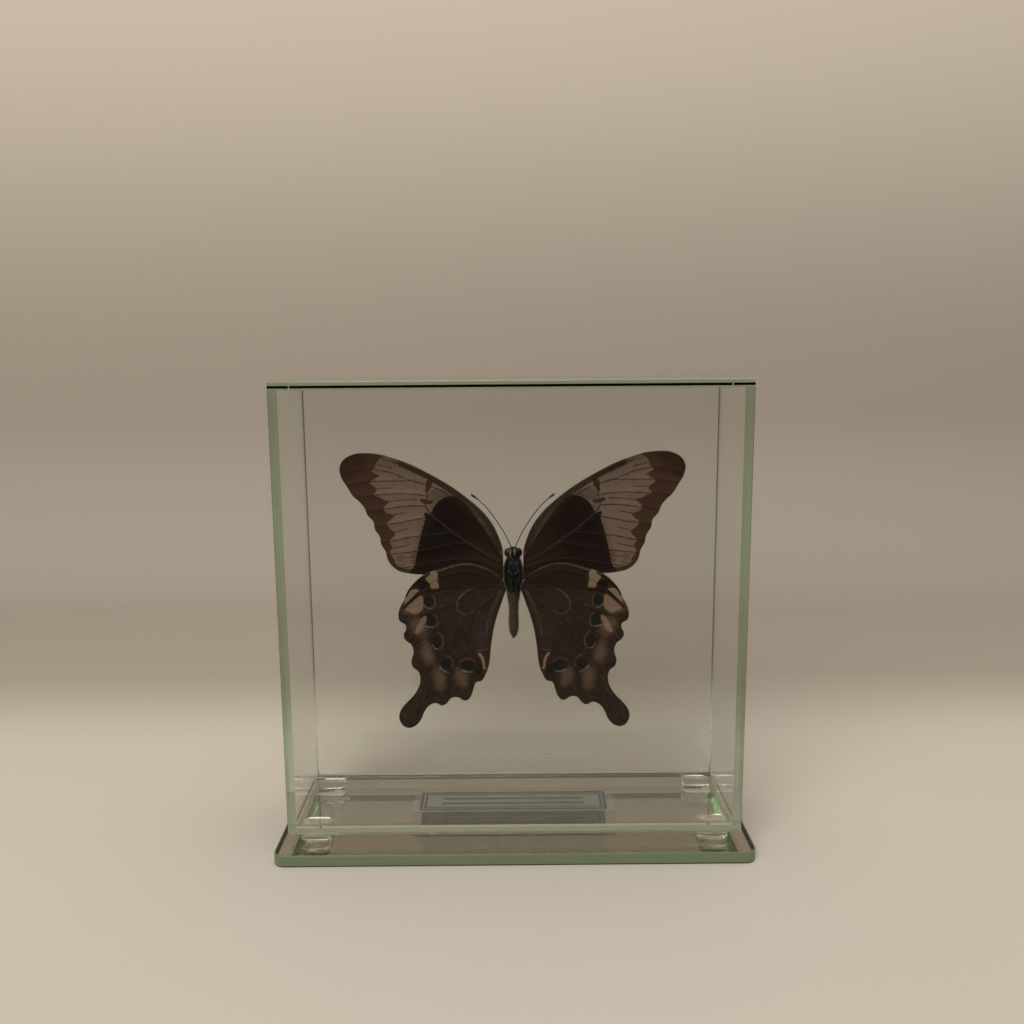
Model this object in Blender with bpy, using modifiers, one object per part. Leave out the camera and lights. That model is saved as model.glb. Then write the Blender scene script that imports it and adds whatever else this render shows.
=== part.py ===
"""A swallowtail butterfly in a glued glass box that stands on four clear pads on a mirror base.

The origin is the middle of the mirror base's underside. +X is to the right and +Z is up as the object
stands, and -Y is the side that the butterfly's underside faces.
"""

import math

import bmesh
import bpy
from mathutils import Vector

MM = 0.001
GAP = 0.3 * MM

# Mirror base
BASE_WIDTH = 120.7 * MM
BASE_DEPTH = 46.4 * MM
BASE_THICK = 3.0 * MM
BASE_CORNER = 3.0 * MM
BASE_ARRIS = 0.45 * MM

# Clear pads between the mirror base and the box
PAD_WIDTH = 7.6 * MM
PAD_DEPTH = 7.4 * MM
PAD_CORNER = 1.3 * MM
PAD_EDGE = 0.35 * MM
PAD_SIDE_INSET = 2.65 * MM
PAD_END_INSET = 1.6 * MM
BOX_LIFT = 2.15 * MM

# Glass box
BOX_WIDTH = 115.0 * MM
BOX_DEPTH = 34.0 * MM
BOX_HEIGHT = 114.2 * MM
PANE = 2.0 * MM
PANE_ARRIS = 0.2 * MM
BOX_BOTTOM = BASE_THICK + BOX_LIFT
BOX_TOP = BOX_BOTTOM + BOX_HEIGHT

# Label stuck under the floor pane
LABEL_WIDTH = 54.0 * MM
LABEL_DEPTH = 12.0 * MM
LABEL_THICK = 0.2 * MM
LABEL_CORNER = 1.0 * MM

# Butterfly: the middle of the thorax, and the layers of the wings behind one another
SPECIMEN = Vector((0.2 * MM, 0.0, 69.5 * MM))
WING_THICK = 0.4 * MM
HINDWING_Y = -0.25 * MM
FOREWING_Y = HINDWING_Y + WING_THICK + GAP
OUTLINE_STEPS = 4

# Clear rod that holds the thorax from the rear pane
PEG_RADIUS = 1.25 * MM
PEG_DROP = 1.5 * MM
PEG_SIDES = 24

# Right wing outlines in millimetres from the middle of the thorax, outwards and up
FOREWING_ROOT = [(2.6, -2.0), (2.6, 5.6)]
FOREWING_EDGE = [
    (3.3, 8.2), (5.9, 13.6), (11.6, 19.4), (20.4, 25.3), (30.7, 30.0), (37.0, 31.2),
    (41.8, 30.5), (44.1, 28.2), (44.0, 25.2), (42.4, 22.4), (41.2, 20.3), (39.7, 18.9),
    (38.2, 17.0), (37.5, 15.2), (36.0, 13.4), (35.7, 11.5), (34.5, 9.5), (34.1, 7.5),
    (33.0, 5.4), (32.4, 3.0), (30.4, 0.8), (27.0, -0.3), (21.0, -0.6), (12.0, -1.0),
]
HINDWING_ROOT = [(1.9, -4.6), (2.6, -2.2)]
HINDWING_EDGE = [
    (4.5, -0.3), (7.5, 1.4), (11.8, 2.5), (16.2, 1.9), (20.0, 0.8), (23.3, -0.5), (26.0, -2.8),
    (27.7, -5.1), (28.5, -7.1), (29.6, -9.1), (30.1, -11.3), (29.7, -13.0), (28.4, -13.8),
    (28.2, -15.0), (28.9, -16.6), (28.3, -18.2), (27.0, -19.2), (26.4, -21.3), (27.0, -23.8),
    (26.6, -25.5), (25.3, -26.6), (24.8, -28.5), (25.3, -31.0), (26.7, -33.3), (28.8, -35.5),
    (30.4, -37.9), (30.5, -40.3), (28.9, -42.2), (27.0, -42.1), (25.0, -40.3), (24.0, -38.0),
    (22.7, -36.2), (20.8, -35.4), (19.2, -36.1), (17.8, -35.4), (16.8, -34.1), (15.1, -33.8),
    (13.0, -34.8), (11.7, -33.9), (10.8, -31.6), (10.0, -29.7), (8.6, -29.3), (7.6, -27.7),
    (6.6, -24.9), (6.1, -20.7), (5.6, -17.0), (4.6, -12.5), (3.2, -8.3),
]

# Body in millimetres from the middle of the thorax: (centre, radii)
THORAX = ((0.0, -0.6, -0.2), (2.3, 3.0, 5.2))
HEAD = ((0.0, -0.5, 5.2), (1.7, 1.7, 1.7))
EYE = ((1.3, -0.6, 5.3), (1.1, 1.2, 1.3))
PALP = ((0.45, -1.7, 5.9), (0.42, 0.55, 1.1))
ABDOMEN_RADII = [(-3.6, 1.5), (-5.5, 1.65), (-8.0, 1.2), (-10.5, 1.05), (-13.5, 1.25), (-15.5, 1.05),
                 (-16.8, 0.6), (-17.7, 0.0)]
ABDOMEN_RINGS = 8
ABDOMEN_ROWS = 24
ABDOMEN_SIDES = 16
ABDOMEN_Y = -0.3

# Folded legs, each with its hip, knee and foot in millimetres out from the midline and up
LEGS = [
    ((0.4, 2.9), (0.9, 3.5), (1.0, 1.5)),
    ((0.4, 0.4), (1.5, 1.0), (1.5, -2.6)),
    ((0.4, -1.6), (0.8, -1.1), (0.6, -4.9)),
]
LEG_RADIUS = 0.22 * MM
LEG_POINTS = 10
LEG_LIFT = 0.08

# Antenna in millimetres: a bowed line from the top of the head to the tip of the club
ANTENNA_PATH = [(0.5, -0.9, 7.35), (2.6, -1.3, 11.2), (5.5, -1.6, 15.7), (8.2, -1.7, 18.8), (10.6, -1.7, 20.7)]
ANTENNA_RADIUS = 0.16 * MM
ANTENNA_POINTS = 18
CLUB_START = 0.8
CLUB_SWELL = 1.1


def clear_scene():
    for old in list(bpy.data.objects):
        bpy.data.objects.remove(old)


def make_collection(name):
    collection = bpy.data.collections.new(name)
    bpy.context.scene.collection.children.link(collection)
    return collection


def linear(hex_colour):
    """A six-digit sRGB hex colour as linear RGBA."""
    values = [int(hex_colour[i : i + 2], 16) / 255 for i in (0, 2, 4)]
    return [v / 12.92 if v <= 0.04045 else ((v + 0.055) / 1.055) ** 2.4 for v in values] + [1.0]


def make_material(name, hex_colour, roughness, metallic=0.0, transmission=0.0, ior=1.5):
    material = bpy.data.materials.new(name)
    material.use_nodes = True
    shader = material.node_tree.nodes["Principled BSDF"]
    shader.inputs["Base Color"].default_value = linear(hex_colour)
    shader.inputs["Roughness"].default_value = roughness
    shader.inputs["Metallic"].default_value = metallic
    shader.inputs["Transmission Weight"].default_value = transmission
    shader.inputs["IOR"].default_value = ior
    material.diffuse_color = linear(hex_colour)
    return material


def place(name, data, collection, material=None):
    piece = bpy.data.objects.new(name, data)
    collection.objects.link(piece)
    if material:
        data.materials.append(material)
    return piece


def add_bevel(piece, width, segments):
    bevel = piece.modifiers.new("arris", "BEVEL")
    bevel.width = width
    bevel.segments = segments
    bevel.limit_method = "ANGLE"


def slab(name, low, high, arris, material, collection, corner=0.0, segments=1):
    """A box between two corners, its upright edges rounded by corner and every edge broken by arris."""
    size = Vector(high) - Vector(low)
    mesh = bpy.data.meshes.new(name)
    shape = bmesh.new()
    bmesh.ops.create_cube(shape, size=1.0)
    bmesh.ops.scale(shape, vec=size, verts=shape.verts)
    if corner:
        upright = [e for e in shape.edges if abs(e.verts[0].co.z - e.verts[1].co.z) > size.z / 2]
        bmesh.ops.bevel(shape, geom=upright, offset=corner, segments=6, profile=0.5, affect="EDGES")
    shape.to_mesh(mesh)
    shape.free()
    piece = place(name, mesh, collection, material)
    piece.location = (Vector(low) + Vector(high)) / 2
    add_bevel(piece, arris, segments)
    return piece


def build_base(parts):
    silver = make_material("mirror_glass", "B9BCB2", 0.03, metallic=0.9)
    half = Vector((BASE_WIDTH / 2, BASE_DEPTH / 2, 0))
    slab("mirror_base", -half, half + Vector((0, 0, BASE_THICK)), BASE_ARRIS, silver, parts,
         corner=BASE_CORNER, segments=2)


def build_pads(parts):
    rubber = make_material("clear_pad", "C9CFC2", 0.1, transmission=0.9, ior=1.49)
    middle_x = BOX_WIDTH / 2 - PAD_SIDE_INSET - PAD_WIDTH / 2
    middle_y = BOX_DEPTH / 2 - PAD_END_INSET - PAD_DEPTH / 2
    half = Vector((PAD_WIDTH / 2, PAD_DEPTH / 2, 0))
    for end, y in (("front", -middle_y), ("rear", middle_y)):
        for side, x in (("left", -middle_x), ("right", middle_x)):
            low = Vector((x, y, BASE_THICK + GAP)) - half
            high = Vector((x, y, BOX_BOTTOM - GAP)) + half
            slab(f"pad_{end}_{side}", low, high, PAD_EDGE, rubber, parts, corner=PAD_CORNER, segments=2)


def build_panes(parts):
    """Floor and top cover the walls, and the front and rear panes cover the side panes."""
    glass = make_material("float_glass", "CFE0D2", 0.0, transmission=1.0, ior=1.52)
    x, y = BOX_WIDTH / 2, BOX_DEPTH / 2
    low, high = BOX_BOTTOM + PANE + GAP, BOX_TOP - PANE - GAP
    inner_y = y - PANE - GAP
    panes = {
        "glass_floor": ((-x, -y, BOX_BOTTOM), (x, y, BOX_BOTTOM + PANE)),
        "glass_top": ((-x, -y, BOX_TOP - PANE), (x, y, BOX_TOP)),
        "glass_front": ((-x, -y, low), (x, -y + PANE, high)),
        "glass_rear": ((-x, y - PANE, low), (x, y, high)),
        "glass_left": ((-x, -inner_y, low), (-x + PANE, inner_y, high)),
        "glass_right": ((x - PANE, -inner_y, low), (x, inner_y, high)),
    }
    for name, (near, far) in panes.items():
        slab(name, near, far, PANE_ARRIS, glass, parts)


def build_label(parts):
    film = make_material("label_film", "C6D6D0", 0.25)
    top = BOX_BOTTOM - GAP
    half = Vector((LABEL_WIDTH / 2, LABEL_DEPTH / 2, 0))
    low = Vector((0, 0, top - LABEL_THICK)) - half
    slab("label", low, Vector((0, 0, top)) + half, 0.04 * MM, film, parts, corner=LABEL_CORNER)


def build_peg(parts):
    """A clear rod along Y from the back of the thorax to the rear pane's inner face."""
    acrylic = make_material("clear_acrylic", "DDE4DF", 0.03, transmission=1.0, ior=1.49)
    (_, thorax_y, thorax_z), (_, deep, tall) = THORAX
    reach = math.sqrt(1 - ((-PEG_DROP / MM - thorax_z) / tall) ** 2)
    start = (thorax_y + deep * reach) * MM + GAP
    end = BOX_DEPTH / 2 - PANE - GAP
    mesh = bpy.data.meshes.new("support_peg")
    shape = bmesh.new()
    bmesh.ops.create_cone(shape, cap_ends=True, segments=PEG_SIDES, radius1=PEG_RADIUS,
                          radius2=PEG_RADIUS, depth=end - start)
    shape.to_mesh(mesh)
    shape.free()
    peg = place("support_peg", mesh, parts, acrylic)
    peg.location = SPECIMEN + Vector((0, (start + end) / 2, -PEG_DROP))
    peg.rotation_euler = (math.pi / 2, 0, 0)


def build_wing(name, side, root, edge, y, material, parts):
    """A thin flat wing: straight where it meets the body, one smooth line all round the free edge."""
    curve = bpy.data.curves.new(name, "CURVE")
    curve.dimensions = "2D"
    curve.fill_mode = "BOTH"
    curve.extrude = WING_THICK / 2
    curve.resolution_u = OUTLINE_STEPS
    outline = curve.splines.new("BEZIER")
    outline.use_cyclic_u = True
    outline.bezier_points.add(len(root) + len(edge) - 1)
    for point, (out, up) in zip(outline.bezier_points, root + edge):
        point.co = (side * out * MM, up * MM, 0)
        corner = (out, up) in root
        point.handle_left_type = point.handle_right_type = "VECTOR" if corner else "AUTO"
    wing = place(name, curve, parts, material)
    wing.location = SPECIMEN + Vector((0, y, 0))
    wing.rotation_euler = (math.pi / 2, 0, 0)


def build_wings(parts):
    fore_scales = make_material("forewing_scales", "3A302A", 0.75)
    hind_scales = make_material("hindwing_scales", "33291F", 0.75)
    for side, word in ((-1, "left"), (1, "right")):
        build_wing(f"forewing_{word}", side, FOREWING_ROOT, FOREWING_EDGE, FOREWING_Y, fore_scales, parts)
        build_wing(f"hindwing_{word}", side, HINDWING_ROOT, HINDWING_EDGE, HINDWING_Y, hind_scales, parts)


def ellipsoid(name, shape_size, side, collection, material=None, segments=16, rings=10):
    (x, y, z), radii = shape_size
    mesh = bpy.data.meshes.new(name)
    shape = bmesh.new()
    bmesh.ops.create_uvsphere(shape, u_segments=segments, v_segments=rings, radius=1.0)
    bmesh.ops.scale(shape, vec=Vector(radii) * MM, verts=shape.verts)
    shape.to_mesh(mesh)
    shape.free()
    mesh.shade_smooth()
    piece = place(name, mesh, collection, material)
    piece.location = SPECIMEN + Vector((side * x, y, z)) * MM
    return piece


def between(pairs, z):
    """The radius at height z, in a straight line between the listed heights, which run downwards."""
    for (z0, r0), (z1, r1) in zip(pairs, pairs[1:]):
        if z >= z1:
            return r0 + (r1 - r0) * (z0 - z) / (z0 - z1)
    return pairs[-1][1]


def abdomen(collection):
    """A turned profile that tapers to the tip, waisted a little between its rings."""
    top, tip = ABDOMEN_RADII[0][0], ABDOMEN_RADII[-1][0]
    rows = [(0.0, top)]
    for i in range(ABDOMEN_ROWS + 1):
        t = i / ABDOMEN_ROWS
        z = top + (tip - top) * t
        swell = 1 + 0.07 * abs(math.sin(math.pi * ABDOMEN_RINGS * t))
        rows.append((between(ABDOMEN_RADII, z) * swell, z))
    mesh = bpy.data.meshes.new("abdomen")
    mesh.from_pydata([(r * MM, 0, z * MM) for r, z in rows], [(i, i + 1) for i in range(len(rows) - 1)], [])
    piece = place("abdomen", mesh, collection)
    piece.location = SPECIMEN + Vector((0, ABDOMEN_Y * MM, 0))
    turn = piece.modifiers.new("turn", "SCREW")
    turn.steps = turn.render_steps = ABDOMEN_SIDES
    turn.use_merge_vertices = True
    turn.merge_threshold = 0.00001
    return piece


def on_thorax(x, z, lift):
    """The point in front of the thorax's underside at x and z, raised from its surface by lift."""
    (_, middle_y, middle_z), (wide, deep, tall) = THORAX
    inside = 1 - (x / wide) ** 2 - ((z - middle_z) / tall) ** 2
    return Vector((x, middle_y - deep * math.sqrt(inside) - lift, z)) * MM


def leg_path(side, hip, knee, foot):
    """Straight from the hip up to the knee, then straight back down, close along the thorax."""
    bend = LEG_POINTS // 3
    path = []
    for i in range(LEG_POINTS):
        (x0, z0), (x1, z1) = (hip, knee) if i <= bend else (knee, foot)
        t = i / bend if i <= bend else (i - bend) / (LEG_POINTS - 1 - bend)
        path.append(on_thorax(side * (x0 + (x1 - x0) * t), z0 + (z1 - z0) * t, LEG_LIFT))
    return path


def tube(name, path, radius, collection, swell=None, material=None):
    """A wire of round section along a path, thicker by swell(t) at the fraction t of its length."""
    curve = bpy.data.curves.new(name, "CURVE")
    curve.dimensions = "3D"
    curve.bevel_depth = radius
    curve.bevel_resolution = 2
    curve.use_fill_caps = True
    line = curve.splines.new("POLY")
    line.points.add(len(path) - 1)
    for i, (point, place_on_path) in enumerate(zip(line.points, path)):
        point.co = (*(SPECIMEN + place_on_path), 1)
        point.radius = swell(i / (len(path) - 1)) if swell else 1.0
    return place(name, curve, collection, material)


def tube_as_mesh(curve_object, collection):
    """The tube as a welded closed mesh, which a Boolean can take."""
    graph = bpy.context.evaluated_depsgraph_get()
    mesh = bpy.data.meshes.new_from_object(curve_object.evaluated_get(graph))
    shape = bmesh.new()
    shape.from_mesh(mesh)
    bmesh.ops.remove_doubles(shape, verts=shape.verts, dist=0.000001)
    bmesh.ops.recalc_face_normals(shape, faces=shape.faces)
    shape.to_mesh(mesh)
    shape.free()
    name = curve_object.name
    matrix = curve_object.matrix_world.copy()
    bpy.data.objects.remove(curve_object)
    piece = place(name + "_solid", mesh, collection)
    piece.matrix_world = matrix
    return piece


def fuse(target, piece):
    piece.hide_render = True
    piece.display_type = "WIRE"
    union = target.modifiers.new("with_" + piece.name, "BOOLEAN")
    union.operation = "UNION"
    union.solver = "MANIFOLD"
    union.object = piece


def build_body(parts, helpers):
    """Thorax, head, eyes, palps, abdomen and six folded legs, grown together."""
    hair = make_material("body_hair", "221D1A", 0.85)
    body = ellipsoid("butterfly_body", THORAX, 1, parts, hair, segments=20, rings=14)
    fuse(body, ellipsoid("head", HEAD, 1, helpers))
    fuse(body, abdomen(helpers))
    for side, word in ((-1, "left"), (1, "right")):
        fuse(body, ellipsoid(f"eye_{word}", EYE, side, helpers))
        fuse(body, ellipsoid(f"palp_{word}", PALP, side, helpers, segments=10, rings=8))
        for number, leg in enumerate(LEGS, start=1):
            line = tube(f"leg_{number}_{word}", leg_path(side, *leg), LEG_RADIUS, helpers)
            fuse(body, tube_as_mesh(line, helpers))


def smooth_path(points, count):
    """Evenly stepped points on a smooth curve that passes through every listed point."""
    ends = [2 * points[0] - points[1]] + points + [2 * points[-1] - points[-2]]
    path = []
    for i in range(count):
        position = i / (count - 1) * (len(points) - 1)
        k = min(int(position), len(points) - 2)
        t = position - k
        a, b, c, d = ends[k : k + 4]
        path.append(0.5 * (2 * b + (c - a) * t + (2 * a - 5 * b + 4 * c - d) * t * t
                           + (3 * b - a - 3 * c + d) * t**3))
    return path


def club(t):
    """The antenna is even up to its club, which swells and closes to a blunt tip."""
    if t < CLUB_START:
        return 1.0
    return 1.0 + CLUB_SWELL * math.sin(math.pi * min(1.0, 1.15 * (t - CLUB_START) / (1 - CLUB_START)) * 0.85)


def build_antennae(parts):
    horn = make_material("antenna_horn", "1B1613", 0.6)
    for side, word in ((-1, "left"), (1, "right")):
        points = [Vector((side * x, y, z)) * MM for x, y, z in ANTENNA_PATH]
        tube(f"antenna_{word}", smooth_path(points, ANTENNA_POINTS), ANTENNA_RADIUS, parts, club, horn)


def main():
    clear_scene()
    parts = make_collection("butterfly_in_glass_box")
    helpers = make_collection("joined_shapes")
    helpers.hide_render = True
    build_base(parts)
    build_pads(parts)
    build_panes(parts)
    build_label(parts)
    build_peg(parts)
    build_wings(parts)
    build_body(parts, helpers)
    build_antennae(parts)


main()
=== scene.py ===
# %% [markdown]
# # A swallowtail butterfly in a glass box
# Six thin glass panes are glued into a closed square box. It stands on four clear pads on a mirror
# plate, and a dead swallowtail hangs in the middle of it, its underside to the viewer. The solids are
# already there, at their real size. This script gives them their looks: see-through glass with green
# edges, a silvered mirror, and wings with veins, scales and markings.

# %% Load the fixed frame
import math

import bmesh
import bpy
import numpy as np
from mathutils import Matrix, Vector


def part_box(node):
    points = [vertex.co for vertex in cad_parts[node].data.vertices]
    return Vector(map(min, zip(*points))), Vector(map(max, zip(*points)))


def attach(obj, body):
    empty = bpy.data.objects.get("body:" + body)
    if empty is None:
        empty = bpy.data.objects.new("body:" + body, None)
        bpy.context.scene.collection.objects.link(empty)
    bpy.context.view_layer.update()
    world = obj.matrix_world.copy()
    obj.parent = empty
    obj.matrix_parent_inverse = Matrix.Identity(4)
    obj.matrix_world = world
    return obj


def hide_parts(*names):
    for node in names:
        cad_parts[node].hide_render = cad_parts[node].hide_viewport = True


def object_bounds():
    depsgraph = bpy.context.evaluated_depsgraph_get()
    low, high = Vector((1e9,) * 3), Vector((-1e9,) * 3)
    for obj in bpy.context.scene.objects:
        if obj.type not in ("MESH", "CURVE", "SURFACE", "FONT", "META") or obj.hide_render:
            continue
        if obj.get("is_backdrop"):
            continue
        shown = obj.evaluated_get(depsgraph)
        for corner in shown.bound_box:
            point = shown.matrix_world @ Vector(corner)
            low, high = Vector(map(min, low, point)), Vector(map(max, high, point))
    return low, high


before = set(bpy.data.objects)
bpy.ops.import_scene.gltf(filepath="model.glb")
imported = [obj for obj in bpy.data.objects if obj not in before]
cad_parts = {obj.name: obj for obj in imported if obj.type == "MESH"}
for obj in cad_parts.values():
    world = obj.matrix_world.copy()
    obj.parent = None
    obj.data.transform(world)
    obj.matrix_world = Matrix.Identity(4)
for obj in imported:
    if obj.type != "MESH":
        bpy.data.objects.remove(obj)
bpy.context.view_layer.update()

MM = 0.001
SAME = 0.01 * MM


def linear(hex_colour):
    """A six-digit sRGB hex colour as linear RGBA, which is what a shader socket holds."""
    values = [int(hex_colour[i : i + 2], 16) / 255 for i in (0, 2, 4)]
    return [v / 12.92 if v <= 0.04045 else ((v + 0.055) / 1.055) ** 2.4 for v in values] + [1.0]


def add(tree, kind, sockets=None, **settings):
    """Adds one node. sockets maps an input to a value, or to the output that feeds it."""
    node = tree.nodes.new(kind)
    for name, value in settings.items():
        setattr(node, name, value)
    for name, value in (sockets or {}).items():
        if isinstance(value, bpy.types.NodeSocket):
            tree.links.new(value, node.inputs[name])
        else:
            node.inputs[name].default_value = value
    return node


def new_material(name):
    """An empty material with a Principled shader on its output: (material, tree, shader, output)."""
    material = bpy.data.materials.new(name)
    material.use_nodes = True
    tree = material.node_tree
    tree.nodes.clear()
    shader = add(tree, "ShaderNodeBsdfPrincipled")
    output = add(tree, "ShaderNodeOutputMaterial", {"Surface": shader.outputs[0]})
    return material, tree, shader, output


def mottled(name, dark, pale, size, roughness, detail=3.0, span=(0.0, 1.0)):
    """A material in two tones that clouds of the given size mix, and the socket that holds the clouds."""
    material, tree, shader, output = new_material(name)
    place = add(tree, "ShaderNodeTexCoord")
    clouds = add(tree, "ShaderNodeTexNoise",
                 {"Vector": place.outputs["Object"], "Scale": 1 / size, "Detail": detail})
    spread = add(tree, "ShaderNodeMapRange", {0: clouds.outputs[0], 1: span[0], 2: span[1]})
    tint = add(tree, "ShaderNodeMix", {0: spread.outputs[0], 6: linear(dark), 7: linear(pale)},
               data_type="RGBA")
    tree.links.new(tint.outputs[2], shader.inputs["Base Color"])
    shader.inputs["Roughness"].default_value = roughness
    return material, tree, shader, output, clouds.outputs[0]


def touches(place, axis, value):
    """True if the place lies on the plane across the axis at that value."""
    return abs(place[axis] - value) < SAME


def select_only(piece=None):
    bpy.ops.object.select_all(action="DESELECT")
    if piece:
        piece.select_set(True)
        bpy.context.view_layer.objects.active = piece


def stretched(name, size):
    """Names the primitive that was just added, stretches it to its size and opens it in edit mode."""
    piece = bpy.context.object
    piece.name = name
    piece.scale = size
    bpy.ops.object.transform_apply(location=True, rotation=True, scale=True)
    bpy.ops.object.mode_set(mode="EDIT")
    return piece


def box_between(name, low, high):
    """A box between two corners, in edit mode."""
    select_only()
    bpy.ops.mesh.primitive_cube_add(size=1, location=(low + high) / 2)
    return stretched(name, high - low)


def sheet_between(name, half_width, near, far, height):
    """A flat rectangle that lies at a height, from near to far, in edit mode."""
    select_only()
    bpy.ops.mesh.primitive_plane_add(size=1, location=(0, (near + far) / 2, height))
    return stretched(name, (2 * half_width, far - near, 1))


def pick(piece, kind, test):
    """In edit mode, selects only the verts, edges or faces that pass the test."""
    bpy.ops.mesh.select_all(action="DESELECT")
    shape = bmesh.from_edit_mesh(piece.data)
    for part in getattr(shape, kind):
        if test(part):
            part.select_set(True)
    bmesh.update_edit_mesh(piece.data)


def finish_piece(piece, slot, *replaced):
    """Moves the place of a piece into its mesh, and ties it to the frame."""
    select_only(piece)
    bpy.ops.object.transform_apply(location=True, rotation=True, scale=True)
    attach(piece, "root")
    if replaced:
        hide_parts(*replaced)
    print(piece.name, len(piece.data.polygons), "faces")
    return piece


# %% [markdown]
# ## Camera
# The photograph was taken with a phone, held a little above the box and tipped down. Its place and
# focal length come from the way the box's and the plate's straight edges run together.

# %% Camera
EYE_PLACE = Vector((-0.55, -247.81, 126.18)) * MM
TIP_DOWN = math.radians(9.39)
TURN = math.radians(0.12)
ROLL = math.radians(-0.44)
FOCAL_PIXELS = 975
IMAGE_PIXELS = 1024
SENSOR = 36

lens = bpy.data.cameras.new("camera")
lens.sensor_width = SENSOR
lens.lens = FOCAL_PIXELS / IMAGE_PIXELS * SENSOR
lens.clip_start = 0.01
lens.clip_end = 20
camera = bpy.data.objects.new("camera", lens)
bpy.context.scene.collection.objects.link(camera)
camera.matrix_world = (
    Matrix.Translation(EYE_PLACE)
    @ Matrix.Rotation(-TURN, 4, "Z")
    @ Matrix.Rotation(math.pi / 2 - TIP_DOWN, 4, "X")
    @ Matrix.Rotation(ROLL, 4, "Z")
)
bpy.context.scene.camera = camera
print("lens", round(lens.lens, 2), "mm")

# %% [markdown]
# ## Floor and backdrop
# Clear glass shows what is behind it, so the backdrop matters as much as the glass. A sheet of pale paper
# runs back over the table, curves up and becomes the wall, as in a photographer's studio. Its colour is
# graded, like the table and the wall in the photograph: pale under the box, darker behind it and at the foot
# of the wall as painted shade, and paler towards the top of the wall as painted light.
# It is one plane: its rear edge is spun through a quarter turn, and then extruded straight up.

# %% Paper sweep
SWEEP_HALF_WIDTH = 1.6
SWEEP_FRONT = -1.6
SWEEP_BACK = 0.22
SWEEP_CURVE = 0.09
SWEEP_TOP = 1.5
PAPER_BELOW = 0.05 * MM

sweep = sheet_between("paper_sweep", SWEEP_HALF_WIDTH, SWEEP_FRONT, SWEEP_BACK, -PAPER_BELOW)
bpy.context.tool_settings.mesh_select_mode = (False, True, False)
pick(sweep, "edges", lambda e: all(touches(v.co, 1, SWEEP_BACK) for v in e.verts))
bpy.ops.mesh.spin(steps=16, angle=-math.pi / 2, center=(0, SWEEP_BACK, SWEEP_CURVE), axis=(1, 0, 0))
bpy.ops.mesh.extrude_region_move(TRANSFORM_OT_translate={"value": (0, 0, SWEEP_TOP)})
bpy.ops.object.mode_set(mode="OBJECT")
bpy.ops.object.shade_smooth()
sweep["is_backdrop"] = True
print("sweep reaches", [round(max(v.co[k] for v in sweep.data.vertices), 2) for k in range(3)])

# %% Paper
PAPER_GRAIN = 0.8 * MM
TONE_START = 0.05
TONE_END = 0.13
WALL_PALER_FROM = 0.11
WALL_PALEST = 0.34

paper, tree, shader, _ = new_material("graded_paper")
place = add(tree, "ShaderNodeTexCoord")
grain = add(tree, "ShaderNodeTexNoise", {"Vector": place.outputs["Object"], "Scale": 1 / PAPER_GRAIN})
tint = add(tree, "ShaderNodeMix", {0: grain.outputs[0], 6: linear("C6BFB2"), 7: linear("CBC3B6")},
           data_type="RGBA")
# Painted shade behind the box and at the foot of the wall, and painted light towards the top of the wall.
split = add(tree, "ShaderNodeSeparateXYZ", {0: place.outputs["Object"]})
back = add(tree, "ShaderNodeMapRange", {0: split.outputs[1], 1: TONE_START, 2: TONE_END},
           interpolation_type="SMOOTHSTEP")
high = add(tree, "ShaderNodeMapRange", {0: split.outputs[2], 1: WALL_PALER_FROM, 2: WALL_PALEST},
           interpolation_type="SMOOTHSTEP")
wall = add(tree, "ShaderNodeMix", {0: high.outputs[0], 6: linear("A89E91"), 7: linear("D0C5B8")},
           data_type="RGBA")
graded = add(tree, "ShaderNodeMix", {0: back.outputs[0], 6: tint.outputs[2], 7: wall.outputs[2]},
             data_type="RGBA")
tree.links.new(graded.outputs[2], shader.inputs["Base Color"])
shader.inputs["Roughness"].default_value = 0.9
sweep.data.materials.append(paper)

# %% [markdown]
# ## Light
# The room's light is soft and comes from everywhere. The world gives the even part, and its brighter
# zenith is the ceiling over the box. A big softbox overhead lights the table and the tops of things, and
# a second one above the lens lights the wings. Their size keeps the shadows faint. They are hidden from
# reflections, or the glass would show them as squares. Only the second one shines in through the panes.
# The panes also mirror what stands before them. Round the lens that is the dark side of the room, so a black
# card lies and stands there as painted shade. The lens itself doesn't see it, nor do diffuse light and
# shadows; only reflections and refractions show it, as a painted reflection of the dark room. Its near edge
# fades out, because a hard one would show in the glass as a line.

# %% World and softboxes
WORLD_STRENGTH = 0.3
CEILING_STRENGTH = 0.9
CEILING_FROM = 0.88
CEILING_FULL = 0.97
# For each softbox: its name, place, width in metres, power in watts, and whether it shines through glass.
SOFTBOXES = (
    ("overhead", (0.1, -0.05, 1.1), 0.8, 3.2, False),
    ("front_fill", (-0.35, -0.95, 0.8), 1.0, 11.5, True),
)

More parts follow.
